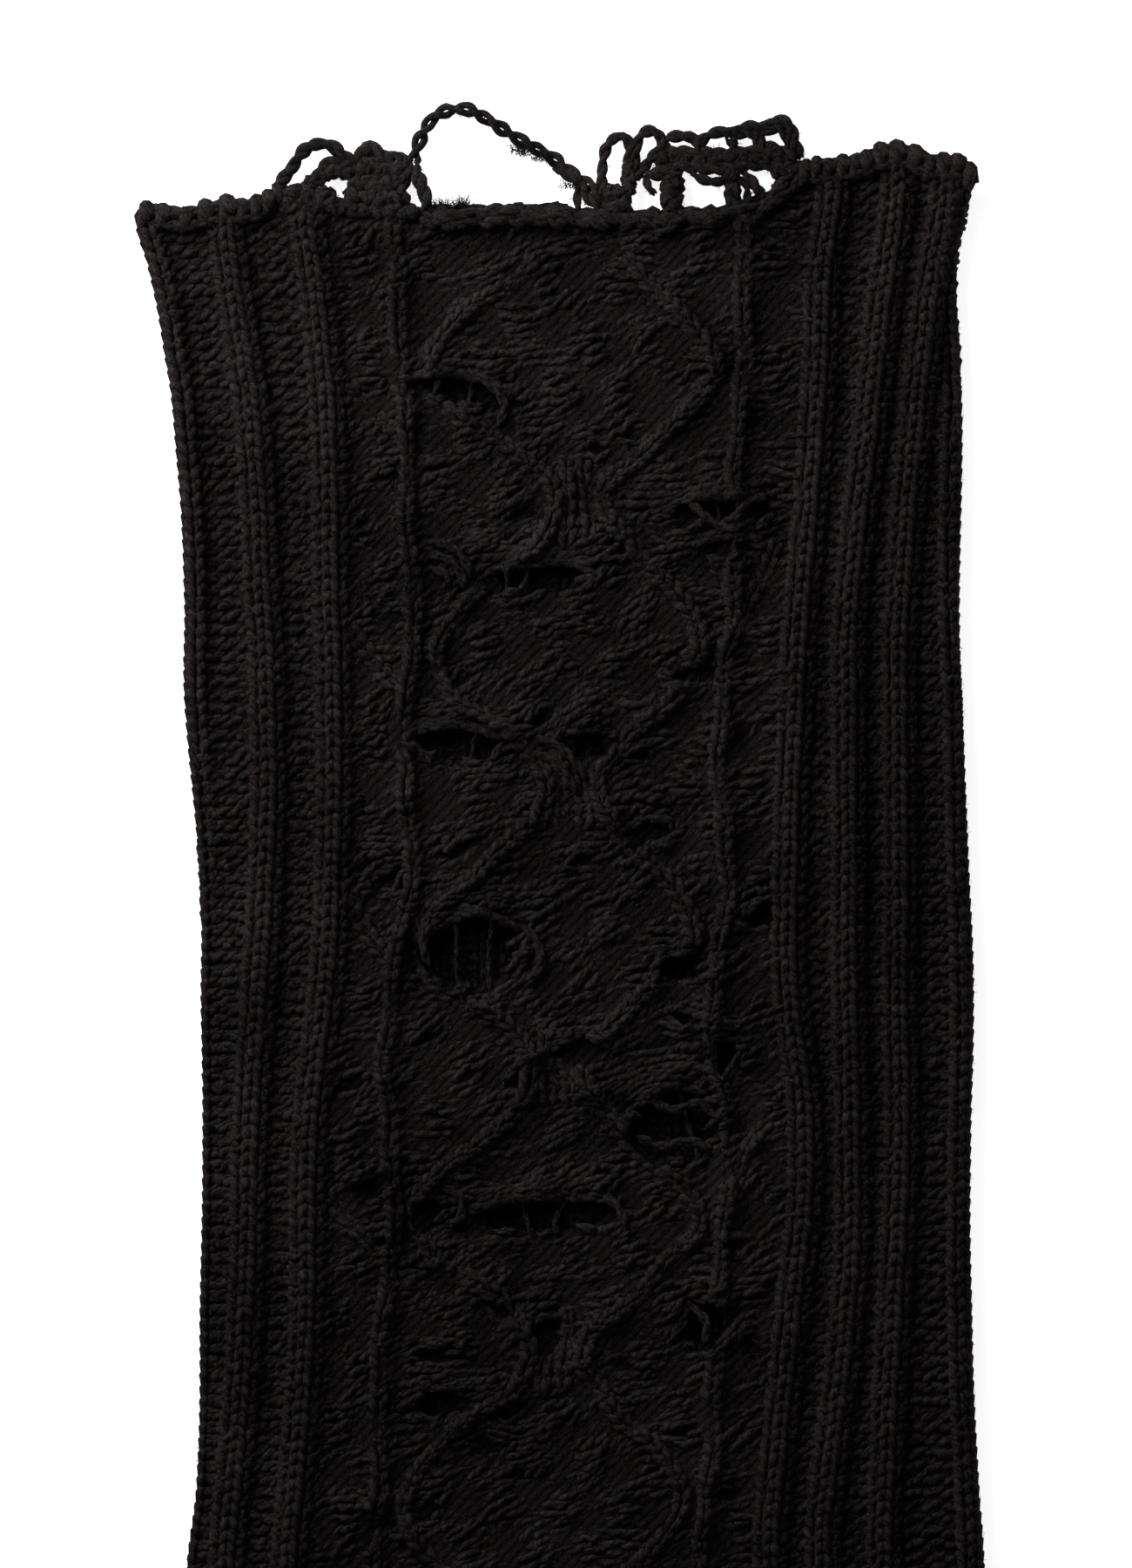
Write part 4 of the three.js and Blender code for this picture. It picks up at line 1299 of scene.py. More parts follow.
@dataclass
class Cloth:
    """The tube of cloth under the stitches, one closed shell with the holes cut through."""

    front_columns: int = 62
    back_columns: int = 26
    rows: int = 124
    below: float = 0.85
    lowest: float = 0.95
    thickness: float = 1.1
    edge_inset: float = 0.9
    end_inset: float = 1.2
    edge_s: float = 20.0
    gap_depth: float = 0.9
    # painted shade: how much darker the shell is at the gaps, and on its back half that the holes show
    gap_painted_shade: float = -1.6
    back_painted_shade: float = -1.4

    def section(self, share: Array, s: Array) -> tuple[Array, Array]:
        """x and z round the tube.

        Args:
            share: place round the tube, 0 to 1 across the front and 1 to 2 back across the underside.
            s: distance down.

        Returns:
            x and z of the shell's outer face.
        """
        left = LEG.station("left", s) + self.edge_inset
        right = LEG.station("right", s) - self.edge_inset
        front = share <= 1
        across = np.where(front, share, 2 - share)
        x = left + (right - left) * across
        top = LEG.height(x, s) - self.below
        inwards = np.clip(np.minimum(x - left, right - x) / 2.6, 0, 1)
        rounded = np.sqrt(np.clip(1 - (1 - inwards) ** 2, 0, 1))
        middle = LEG.inside - 0.4
        z_front = middle + (top - middle) * rounded
        z_back = middle + (self.lowest - middle) * rounded
        return x, np.where(front, z_front, z_back)

    @staticmethod
    def eased(count: int, share: float) -> Array:
        """Steps from 0 to 1 that are closer near both ends, the more so the larger the share."""
        even = np.linspace(0, 1, count)
        return (1 - share) * even + share * (0.5 - 0.5 * np.cos(np.pi * even))

    def build(self, gaps: Array, material: bpy.types.Material) -> bpy.types.Object:
        """Builds the shell.

        Args:
            gaps: the table of holes and small gaps, where it lies deeper and is painted darker.
            material: its finish.

        Returns:
            The new object.
        """
        front = self.eased(self.front_columns, 0.25)
        back = 1 + self.eased(self.back_columns, 0.4)
        shares = np.concatenate([front, back[1:-1]])
        down = np.linspace(0, 1, self.rows)
        share, way = np.meshgrid(shares, down)
        nominal_left = LEG.station("left", self.edge_s)
        nominal_right = LEG.station("right", self.edge_s)
        across = nominal_left + (nominal_right - nominal_left) * np.where(share <= 1, share, 2 - share)
        top = np.where(share <= 1, LEG.front_top(across), LEG.back_top(across)) + self.end_inset
        s = top + (LEG.length - self.end_inset - top) * way
        x, z = self.section(share, s)
        is_front = (share < 1) & (share > 0)
        inside = is_front & (LEG.torn(x, s) < 1)
        deeper = np.where(is_front, 1 - fade(0.9, 1.6, LEG.torn(x, s, gaps)), 0.0)
        z = z - self.gap_depth * deeper
        width = len(shares)
        index = np.arange(self.rows * width).reshape(self.rows, width)
        a, b = index[:-1, :], np.roll(index, -1, axis=1)[:-1, :]
        c, d = np.roll(index, -1, axis=1)[1:, :], index[1:, :]
        faces = np.stack([a, d, c, b], axis=-1).reshape(-1, 4)
        kept = faces[~inside.ravel()[faces].all(axis=1)]
        x, s = self.snapped(x, s, inside)
        moved_x, moved_s = LEG.wavy(x, s)
        x, s = np.where(is_front, moved_x, x), np.where(is_front, moved_s, s)
        points = LEG.point(x, s, z).reshape(-1, 3) * MM
        mesh = bpy.data.meshes.new("cloth")
        mesh.from_pydata(points.tolist(), [], kept.tolist())
        uv = mesh.uv_layers.new(name="yarn")
        loops = np.array([loop.vertex_index for loop in mesh.loops])
        flat = np.stack([s.ravel(), x.ravel() * 0.2], axis=1)[loops]
        uv.data.foreach_set("uv", flat.astype(np.float32).ravel())
        tone_and_shade = mesh.attributes.new("tone_and_shade", "FLOAT", "POINT")
        # painted shade: darker at the gaps of the front and all over the back half
        shade = np.where(is_front, self.gap_painted_shade * deeper, self.back_painted_shade)
        tone_and_shade.data.foreach_set("value", shade.astype(np.float32).ravel())
        mesh.materials.append(material)
        piece = bpy.data.objects.new("cloth", mesh)
        bpy.context.scene.collection.objects.link(piece)
        deselect_all()
        bpy.context.view_layer.objects.active = piece
        piece.select_set(True)
        bpy.ops.object.mode_set(mode="EDIT")
        bpy.ops.mesh.select_all(action="SELECT")
        bpy.ops.mesh.delete_loose()
        bpy.ops.object.mode_set(mode="OBJECT")
        thick = piece.modifiers.new("thickness", "SOLIDIFY")
        thick.thickness = self.thickness * MM
        thick.offset = -1
        bpy.ops.object.modifier_apply(modifier=thick.name)
        bpy.ops.object.shade_smooth()
        return piece

    @staticmethod
    def snapped(x: Array, s: Array, inside: NDArray[np.bool_]) -> tuple[Array, Array]:
        """Moves corners that fell into a hole out to its rim.

        Args:
            x: places across the leg.
            s: places down the leg.
            inside: which of them fell into a hole.

        Returns:
            The x and s that they move to.
        """
        for hole in HOLES:
            along, across = from_hole(hole, x, s)
            far = np.maximum(hole_distance(hole, along, across), 0.05)
            grow = np.where(inside & (far < 1), 1 / far, 1.0)
            new_x, new_s = to_leg(hole, grow * along, grow * across)
            x, s = np.where(grow > 1, new_x, x), np.where(grow > 1, new_s, s)
        return x, s


# Wales that slant across the open bands, as places of x and s
SLANTED_WALES = (
    ((-45.6, 61.2), (-40.4, 69.0), (-34.2, 76.4)),
    ((-46.6, 114.4), (-41.6, 121.4), (-36.1, 129.6)),
    ((-47.5, 173.3), (-42.8, 180.4), (-37.1, 188.5)),
    ((-51.3, 237.9), (-45.4, 244.0), (-39.0, 251.2)),
    ((46.6, 95.4), (39.0, 110.6), (35.2, 122.0)),
    ((44.7, 222.7), (39.0, 230.3), (36.4, 238.0)),
)

# Loose lengths of yarn that lie over the holes and the lace, as places of x and s
LOOSE_YARN = (
    ((-29.6, 95.8), (-25.4, 96.4), (-21.6, 99.2), (-19.4, 103.6)),
    ((-29.2, 98.4), (-25.0, 99.6), (-22.2, 102.4), (-21.0, 106.2)),
    ((-28.8, 101.4), (-25.6, 102.8), (-23.6, 105.4)),
    ((-34.6, 139.8), (-31.2, 141.2), (-28.4, 144.6)),
    ((-5.6, 138.6), (-1.0, 140.2), (2.6, 143.4), (5.6, 147.6)),
    ((-6.2, 141.8), (-2.4, 143.4), (1.0, 146.6), (3.4, 150.8)),
    ((-20.6, 58.2), (-15.2, 62.0), (-12.4, 66.2), (-14.0, 70.8)),
    ((27.4, 86.4), (31.8, 90.6), (36.2, 92.8), (42.4, 91.4)),
    ((33.6, 92.4), (37.8, 90.4), (40.6, 87.2), (45.2, 85.6)),
    ((-8.4, 179.6), (-5.2, 183.4), (-4.6, 188.4), (-7.8, 192.2)),
    ((-28.6, 178.2), (-30.2, 183.0), (-29.0, 188.4)),
    ((-25.8, 236.6), (-22.4, 238.6), (-22.0, 243.0), (-25.4, 245.0)),
    ((18.2, 216.8), (24.0, 219.6), (29.8, 218.2), (33.6, 221.2)),
    ((16.4, 225.4), (21.6, 227.6), (27.8, 226.4), (33.0, 228.6)),
    ((28.4, 262.4), (31.6, 266.0), (31.2, 270.8)),
    ((8.8, 238.2), (12.4, 241.0), (14.0, 245.2)),
    ((-12.8, 213.6), (-8.2, 208.8), (-2.6, 206.4)),
)

# The big loop of broken yarn at the top edge, as places of x and s
BIG_LOOP = (
    (-32.3, 13.9), (-32.2, 11.4), (-31.4, 8.9), (-30.4, 6.6), (-29.0, 4.2), (-27.3, 2.5), (-25.4, 1.6),
    (-22.8, 1.1), (-20.2, 1.3), (-17.8, 2.5), (-15.4, 3.9), (-12.7, 5.7), (-9.3, 7.8), (-6.1, 9.5),
    (-3.0, 11.2), (-0.2, 13.1), (2.5, 15.4), (5.0, 17.2), (7.8, 19.2), (10.0, 22.0),
)

# Broken yarn at the top edge: half of its width, and its places of x and s from root to root
STRANDS = (
    (1.45, ((-62.6, 20.0), (-61.0, 16.6), (-58.7, 13.7), (-57.0, 11.3), (-55.1, 9.6), (-52.7, 8.8),
            (-50.1, 9.2), (-48.2, 10.8), (-46.3, 12.3), (-44.4, 14.0))),
    (1.45, ((-54.2, 17.6), (-53.0, 15.4), (-51.4, 13.6), (-49.6, 12.8), (-47.4, 12.9), (-45.0, 14.1))),
    (1.7, ((-44.0, 16.0), (-43.7, 12.6), (-43.3, 10.4), (-41.9, 9.5), (-40.3, 10.5), (-38.9, 12.0),
           (-36.8, 14.2))),
    (1.4, ((-41.6, 16.4), (-41.8, 13.0), (-40.2, 13.2), (-39.2, 16.0))),
    (1.35, ((-38.2, 14.2), (-37.6, 11.9), (-36.1, 11.1), (-34.7, 12.1), (-34.8, 14.2), (-36.6, 15.4),
            (-38.6, 14.8))),
    (1.45, ((-33.6, 11.6), (-33.5, 14.0), (-34.2, 16.6), (-35.2, 18.6), (-34.6, 20.8), (-33.0, 22.4))),
    (1.6, ((-32.6, 12.6), (-31.9, 14.6), (-31.0, 16.8), (-30.2, 19.2), (-29.8, 21.4), (-29.4, 24.4))),
    (1.3, ((-1.6, 13.6), (1.8, 15.9), (4.4, 18.4), (5.9, 20.9), (8.8, 23.6))),
    (0.9, ((3.4, 17.4), (3.2, 20.6), (3.9, 24.4))),
    (1.2, ((8.6, 21.0), (9.0, 17.6), (8.9, 14.6), (9.1, 11.6), (10.2, 9.0), (12.1, 7.2), (14.0, 7.6),
           (14.7, 9.6), (14.5, 12.5), (14.4, 16.0), (14.2, 19.5), (13.0, 24.0))),
    (0.45, ((10.8, 7.6), (12.4, 6.6), (14.0, 6.7), (15.0, 8.2))),
    (1.25, ((15.4, 17.4), (16.1, 14.6), (16.1, 11.0), (16.7, 8.1), (18.3, 6.2), (20.4, 6.0), (21.7, 7.5),
            (21.2, 9.9), (19.6, 11.9), (18.2, 13.9), (16.4, 16.4))),
    (1.45, ((21.6, 6.9), (22.4, 9.4), (22.6, 12.2))),
    (1.3, ((22.2, 8.6), (23.6, 7.4), (25.9, 7.0), (28.2, 7.2), (29.8, 8.6), (30.2, 11.4))),
    (1.3, ((28.6, 9.0), (30.2, 8.2), (32.1, 7.0), (34.7, 6.3), (37.6, 6.4), (39.2, 5.3), (41.7, 4.9),
           (44.2, 5.0), (46.1, 4.1), (47.7, 3.8), (49.6, 4.9), (50.8, 7.0), (51.2, 9.2), (52.7, 11.6))),
    (1.15, ((37.2, 7.6), (39.6, 6.4), (42.2, 6.6), (44.8, 6.2), (47.2, 5.4), (49.2, 7.4), (49.6, 10.4))),
    (1.5, ((28.9, 8.4), (30.2, 9.8), (31.0, 11.6))),
    (1.35, ((36.0, 6.9), (37.2, 8.6), (37.6, 11.0))),
    (1.4, ((42.4, 5.6), (43.2, 8.0), (43.8, 10.8))),
    (1.5, ((22.0, 10.9), (25.6, 10.6), (29.6, 10.9), (33.4, 11.1), (37.6, 10.8), (41.4, 10.6),
           (45.2, 10.0), (48.6, 10.6), (51.8, 12.4))),
    (1.5, ((17.4, 15.4), (20.4, 15.4), (22.6, 14.8), (25.8, 13.7), (30.2, 14.0), (34.6, 14.2),
           (39.0, 14.0), (42.8, 13.2), (46.6, 13.6), (50.4, 14.8))),
    (1.1, ((28.4, 15.0), (30.6, 16.4), (33.2, 17.2), (35.4, 16.8), (36.4, 14.6))),
    (0.9, ((18.4, 16.0), (19.0, 18.6), (20.4, 20.0))),
    (1.25, ((39.6, 14.6), (41.0, 16.2), (42.2, 18.2), (44.0, 21.0))),
    (0.9, ((37.0, 16.4), (39.4, 16.8), (40.6, 18.8), (40.4, 22.0))),
)

# Tangled parts of it, as loose braids: x and s of both ends, and half of the braid's width
TANGLES = (
    (-63.4, 19.6, -49.6, 20.6, 2.7),
    (-61.4, 22.6, -46.6, 22.9, 2.3),
    (-56.0, 18.4, -50.2, 14.8, 2.0),
    (-51.6, 14.9, -43.0, 14.9, 2.1),
    (-46.6, 18.0, -35.0, 17.6, 2.6),
    (-47.6, 20.6, -34.6, 20.9, 2.2),
    (-49.6, 23.2, -30.4, 24.0, 2.0),
    (-44.0, 12.8, -38.0, 15.0, 2.3),
    (-39.6, 14.2, -34.0, 14.6, 2.2),
    (20.6, 12.0, 34.4, 12.6, 2.3),
    (33.0, 12.5, 49.6, 11.9, 2.3),
    (23.9, 14.0, 23.8, 24.6, 3.0),
    (14.9, 12.4, 14.2, 20.0, 2.0),
    (12.0, 18.0, 12.2, 25.0, 3.6),
    (37.2, 14.6, 37.3, 24.6, 2.1),
    (45.8, 14.6, 53.6, 14.4, 2.4),
    (46.0, 19.0, 53.0, 17.4, 2.3),
)

# Short fat bumps along the rolled edge, as x and s of their tops
BUMPS = (
    (-11.4, 21.9), (-9.1, 21.5), (-5.9, 22.0), (-17.0, 22.6), (-26.4, 22.5), (-1.4, 22.4), (19.6, 22.6),
    (32.4, 22.3),
)


@dataclass
class FrayedEdge:
    """The broken and looped yarn in the middle of the top edge."""

    start: float = -31.0
    end: float = 51.0
    root_z: float = 5.8
    tip_z: float = 2.2
    falls: tuple[float, float] = (21.0, 13.0)
    big_radius: float = 1.3
    braid_radius: float = 1.25
    bump_z: float = 6.0

    def __post_init__(self) -> None:
        """Starts with no lines."""
        self.lines: list[Array] = []

    def lifted(self, line: Array, radius: float) -> Array:
        """Gives a flat line its height, which falls from the cloth's edge to the surface.

        Args:
            line: its places of x and s.
            radius: half of the yarn's width.

        Returns:
            Its places in the frame.
        """
        share = np.clip((self.falls[0] - line[:, 1]) / (self.falls[0] - self.falls[1]), 0, 1)
        z = self.root_z + (self.tip_z - self.root_z) * share
        return LEG.point(line[:, 0], line[:, 1], np.maximum(z, 1.3 * radius + 0.1))

    def braid(self, bundle: YarnBundle, tangle: tuple[float, ...], rng: np.random.Generator) -> None:
        """Lays three strands that cross one another over and over.

        Args:
            bundle: gathers them.
            tangle: x and s of both ends, and half of the braid's width.
            rng: gives the unevenness.
        """
        x0, s0, x1, s1, half = tangle
        far = math.hypot(x1 - x0, s1 - s0)
        t = np.linspace(0, 1, max(8, int(far / 0.7)))
        wave = rng.uniform(5.2, 7.0)
        radius = self.braid_radius
        for k in range(3):
            turn = 2 * np.pi * (t * far / wave + k / 3) + rng.normal(0, 0.3)
            off = (half - radius) * np.sin(turn) + rng.normal(0, 0.15)
            x = x0 + (x1 - x0) * t - off * (s1 - s0) / far
            s = s0 + (s1 - s0) * t + off * (x1 - x0) / far
            line = self.lifted(np.stack([x, s], axis=1), radius)
            line[:, 2] += 0.9 * np.sin(2 * turn + k)
            line[:, 2] = np.maximum(line[:, 2], 1.3 * radius)
            twisted(bundle, line, radius, rng, sides=5)
            self.lines.append(line)

    def build(self, material: bpy.types.Material) -> bpy.types.Object:
        """Builds the loops, the tangles and the rolled edge that they stand in.

        Args:
            material: their finish.

        Returns:
            The new object.
        """
        rng = np.random.default_rng(SEED + 1)
        bundle = YarnBundle()
        big = self.lifted(curve_through(np.array(BIG_LOOP), 0.5), self.big_radius)
        twisted(bundle, big, self.big_radius, rng, Twist.OPEN)
        self.lines.append(big)
        for radius, places in STRANDS:
            line = curve_through(np.array(places), 0.6)
            steps = np.arange(len(line))[:, None]
            line = line + 0.15 * np.sin(steps * np.array([0.37, 0.29]) + rng.random(2) * 6)
            line = self.lifted(line, radius)
            twisted(bundle, line, radius, rng, sides=5)
            self.lines.append(line)
        for tangle in TANGLES:
            self.braid(bundle, tangle, rng)
        self.roll(bundle, rng)
        return bundle.build("frayed_loops", material)

    def roll(self, bundle: YarnBundle, rng: np.random.Generator) -> None:
        """Lays the rolled edge: two long strands, many short ones over them, and a few fat bumps.

        Args:
            bundle: gathers them.
            rng: gives the unevenness.
        """
        x = np.arange(self.start, self.end, 0.7)
        for down, z, radius in ((1.9, 5.0, 1.3), (2.6, 6.4, 1.3)):
            wander = 0.3 * np.sin(x * 0.55 + down) + 0.2 * np.sin(x * 1.3 + z)
            line = LEG.point(x, LEG.front_top(x) + down + wander, z + 0.3 * np.sin(x * 0.8 + down))
            twisted(bundle, line, radius, rng, sides=5)
            self.lines.append(line[::3])
        for start in np.arange(self.start, self.end - 4, 1.9):
            long, lean = rng.uniform(4.5, 8.5), rng.normal(0, 0.24)
            x = start + np.linspace(0, long, 6)
            down = 1.7 + rng.uniform(0, 3.0) + lean * (x - x.mean()) + 0.3 * np.sin(x * 1.1 + start)
            s = LEG.front_top(x) + np.maximum(down, 1.3)
            z = 6.2 + rng.normal(0, 0.4) + 0.8 * np.sin(np.linspace(0, np.pi, 6))
            flat = curve_through(LEG.point(x, s, z), 0.7)
            twisted(bundle, flat, rng.uniform(0.95, 1.35), rng, sides=5)
        for x, s in BUMPS:
            hump = np.array([(-1.4, 3.4), (-0.5, 1.4), (0.6, 1.4), (1.5, 3.6)]) + (x, s)
            flat = curve_through(hump, 0.6)
            line = LEG.point(flat[:, 0], flat[:, 1], np.full(len(flat), self.bump_z))
            twisted(bundle, line, self.braid_radius, rng, sides=5)


@dataclass
class BoundEdge:
    """A bound-off edge: fat beads of yarn that roll over the cloth's end."""

    name: str
    node: str
    low: float
    high: float
    beads: Array
    rings: int = 7
    sides: int = 8

    def build(self, rng: np.random.Generator, material: bpy.types.Material) -> bpy.types.Object:
        """Builds the beads with a chain of thinner yarn behind them.

        Args:
            rng: gives the unevenness.
            material: the edge's finish.

        Returns:
            The new object.
        """
        bundle = YarnBundle()
        form = ring_form(self.sides, self.rings)
        middle = (self.low + self.high) / 2
        for x, s, width in self.beads:
            radius = 0.54 * width
            lean = rng.normal(0, 0.5)
            top = self.high - radius
            arch = np.array([
                (x - 0.6 + lean, s + 6.0, top - 0.9), (x - 0.2, s + 3.6, top + 0.1), (x, s + 1.9, top - 0.1),
                (x + 0.1, s + radius, middle + 0.6), (x + 0.4, s + radius + 0.5, middle - 0.8),
                (x + 0.8, s + 3.4, self.low + radius), (x + 1.2, s + 5.0, self.low + radius),
            ])
            arch[:, 2] = np.maximum(arch[:, 2], radius + 0.25)
            line = curve_through(arch, 0.1)
            line = line[np.linspace(0, len(line) - 1, self.rings).astype(int)]
            taper = np.interp(np.linspace(0, 1, self.rings), (0, 0.25, 0.7, 1), (0.7, 1.0, 1.0, 0.75))
            thick = radius * taper * rng.normal(1, 0.04, self.rings)
            bundle.add(form, LEG.point(*line.T)[None], thick[None], rng.random(1))
        x = np.arange(self.beads[0, 0], self.beads[-1, 0], 0.8)
        s = np.interp(x, self.beads[:, 0], self.beads[:, 1])
        s = np.convolve(np.pad(s, 4, mode="edge"), np.ones(9) / 9, "valid")
        rows = ((2.3, middle + 0.9, 1.5), (3.0, self.low + 1.5, 1.4), (5.2, self.high - 1.5, 1.2))
        for down, z, radius in rows:
            height = np.full_like(x, max(z, 1.15 * radius))
            twisted(bundle, LEG.point(x, s + down, height), radius, rng, sides=5)
        return bundle.build(self.name, material)


def even_beads(start: float, end: float, top: Callable[[Array], Array], pitch: float = 4.1) -> Array:
    """Spreads beads along an edge that the picture doesn't show.

    Args:
        start: x of the first bead.
        end: x of the last bead.
        top: s of the edge at x.
        pitch: distance from bead to bead.

    Returns:
        x, s and width of each bead.
    """
    rng = np.random.default_rng(SEED + 4)
    x = np.arange(start, end, pitch)
    x = x + rng.normal(0, 0.3, len(x))
    return np.column_stack([x, top(x) + rng.normal(0, 0.3, len(x)), rng.uniform(3.0, 3.6, len(x))])


@dataclass
class Hem:
    """The cast-on hem of one layer: three rows of plump stitches along the lower end."""

    name: str
    node: str
    low: float
    high: float
    inset: float = 0.8
    yarn: float = 1.05

    def build(self, stitches: Stitches, material: bpy.types.Material) -> bpy.types.Object:
        """Builds the hem.

        Args:
            stitches: gives the grains and the random numbers.
            material: the hem's finish.

        Returns:
            The new object.
        """
        bundle = YarnBundle()
        grain = stitches.plain
        rng = stitches.rng
        left = float(LEG.station("left", LEG.length)) + self.inset
        right = float(LEG.station("right", LEG.length)) - self.inset
        x = np.arange(left, right, 1.0)
        for off, z in ((1.1, self.high - 1.1), (2.9, self.high - 1.3), (2.2, self.low + 1.05)):
            line = np.stack([x, np.full_like(x, LEG.length - LEG.edge_width + off)], axis=1)
            flat = chain(line, 2.2, (0.2, 0.7), 3.6, grain.levels)
            flat = flat + rng.normal(0, 0.1, (len(flat), 1, 2))
            paths = LEG.point(flat[..., 0], flat[..., 1], z + 0 * flat[..., 0])
            bundle.add(grain, paths, self.yarn, rng.random(len(flat)))
        return bundle.build(self.name, material)


@dataclass
class Underside:
    """The back layer: even ribs that lie flat below, and that show through the holes above."""

    ribs: int = 15
    row: float = 3.6
    yarn: float = 1.05
    wale: float = 4.1
    inner_top: float = 2.9
    # painted shade that darkens the ribs seen through the holes
    inner_painted_shade: float = -1.3
    trough: float = 5.6
    spread: tuple[float, float] = (0.45, 1.35)

    def line(self, k: int, shift: float) -> Array:
        """Places of x and s along a wale of rib k.

        Args:
            k: the rib's number, from the left.
            shift: how far the wale is from the rib's middle.

        Returns:
            The places.
        """
        s = np.arange(14.0, LEG.cloth_end, 3.0)
        left, right = LEG.station("left", s) + 4.2, LEG.station("right", s) - 4.2
        x = left + (right - left) * (k + 0.5) / self.ribs + shift
        return np.stack([x, s], axis=1)[s > LEG.back_top(x) + 3.0]

    def build(self, stitches: Stitches, material: bpy.types.Material) -> list[bpy.types.Object]:
        """Builds the underside in two halves, and the ribs that the holes show.

        Args:
            stitches: gives the grains and the random numbers.
            material: the back's finish.

        Returns:
            The new objects.
        """
        grain, rng = stitches.simple, stitches.rng
        halves = (YarnBundle(), YarnBundle())
        for k in range(self.ribs):
            bundle = halves[k * 2 // self.ribs]
            for shift in (-self.wale / 2, self.wale / 2):
                line = self.line(k, shift)
                flat = chain(line, self.row, self.spread, 4.9, grain.levels)
                flat = flat + rng.normal(0, 0.06, (len(flat), 1, 2))
                z = self.yarn + 0.02 + soft_v(grain.levels, 0.7)[None, :] + 0 * flat[..., 0]
                bundle.add(grain, LEG.point(flat[..., 0], flat[..., 1], z), self.yarn, rng.random(len(flat)))
            self.purl(halves[k * 2 // self.ribs], k, grain, rng)
        sides = zip(halves, ("left", "right"))
        pieces = [bundle.build(f"back_ribs_{side}", material) for bundle, side in sides]
        inner = YarnBundle()
        fine = stitches.bump
        for k in range(self.ribs):
            for shift in (-self.wale / 2, self.wale / 2):
                line = self.line(k, shift)
                flat = chain(line, stitches.row, self.spread, 3.8, fine.levels)
                shown = LEG.torn(flat[:, 2, 0], flat[:, 2, 1]) < 1.5
                flat = flat[shown]
                z = self.inner_top - self.yarn - soft_v(fine.levels, 0.7)[None, :] + 0 * flat[..., 0]
                # random tone, lowered by the painted shade under the holes
                tone_and_shade = rng.random(len(flat)) + self.inner_painted_shade
                inner.add(fine, LEG.point(flat[..., 0], flat[..., 1], z), self.yarn, tone_and_shade)
        pieces.append(inner.build("back_inner_ribs", material))
        return pieces

    def purl(self, bundle: YarnBundle, k: int, grain: Grain, rng: np.random.Generator) -> None:
        """Lays the purl bumps between rib k and the next one.

        Args:
            bundle: gathers them.
            k: the rib's number, from the left.
            grain: the form of a bump.
            rng: gives the unevenness.
        """
        line = self.line(k, self.trough)
        t = grain.levels[None, :]
        s = np.arange(line[0, 1], LEG.cloth_end - 1, 2.3)
        x = np.interp(s, line[:, 1], line[:, 0]) + rng.normal(0, 0.2, len(s))
        arch = 0.5 * np.where(np.arange(len(s)) % 2, 1, -1)[:, None] * (1 - (2 * t - 1) ** 2)
        px = x[:, None] + (2 * t - 1) * 1.7
        inside = np.abs(px).max(axis=1) < np.interp(s, STATIONS[:, 0], STATIONS[:, -1]) - 1
        z = 1.5 + soft_v(grain.levels, 0.8)[None, :] + 0 * px
        paths = LEG.point(px, s[:, None] - arch, z)[inside]
        bundle.add(grain, paths, 0.95, rng.random(len(paths)), (0.0, 1.0, 0.0))


# Tufts of fibre on the rolled edge, as x and s of their tops
TUFTS = (
    (-26.1, 21.8), (-26.3, 21.6), (-21.6, 21.0), (-22.0, 21.4), (-24.0, 22.6), (-9.6, 9.2), (-8.4, 9.8),
    (-5.2, 11.0), (2.0, 17.0), (6.6, 20.6),
)


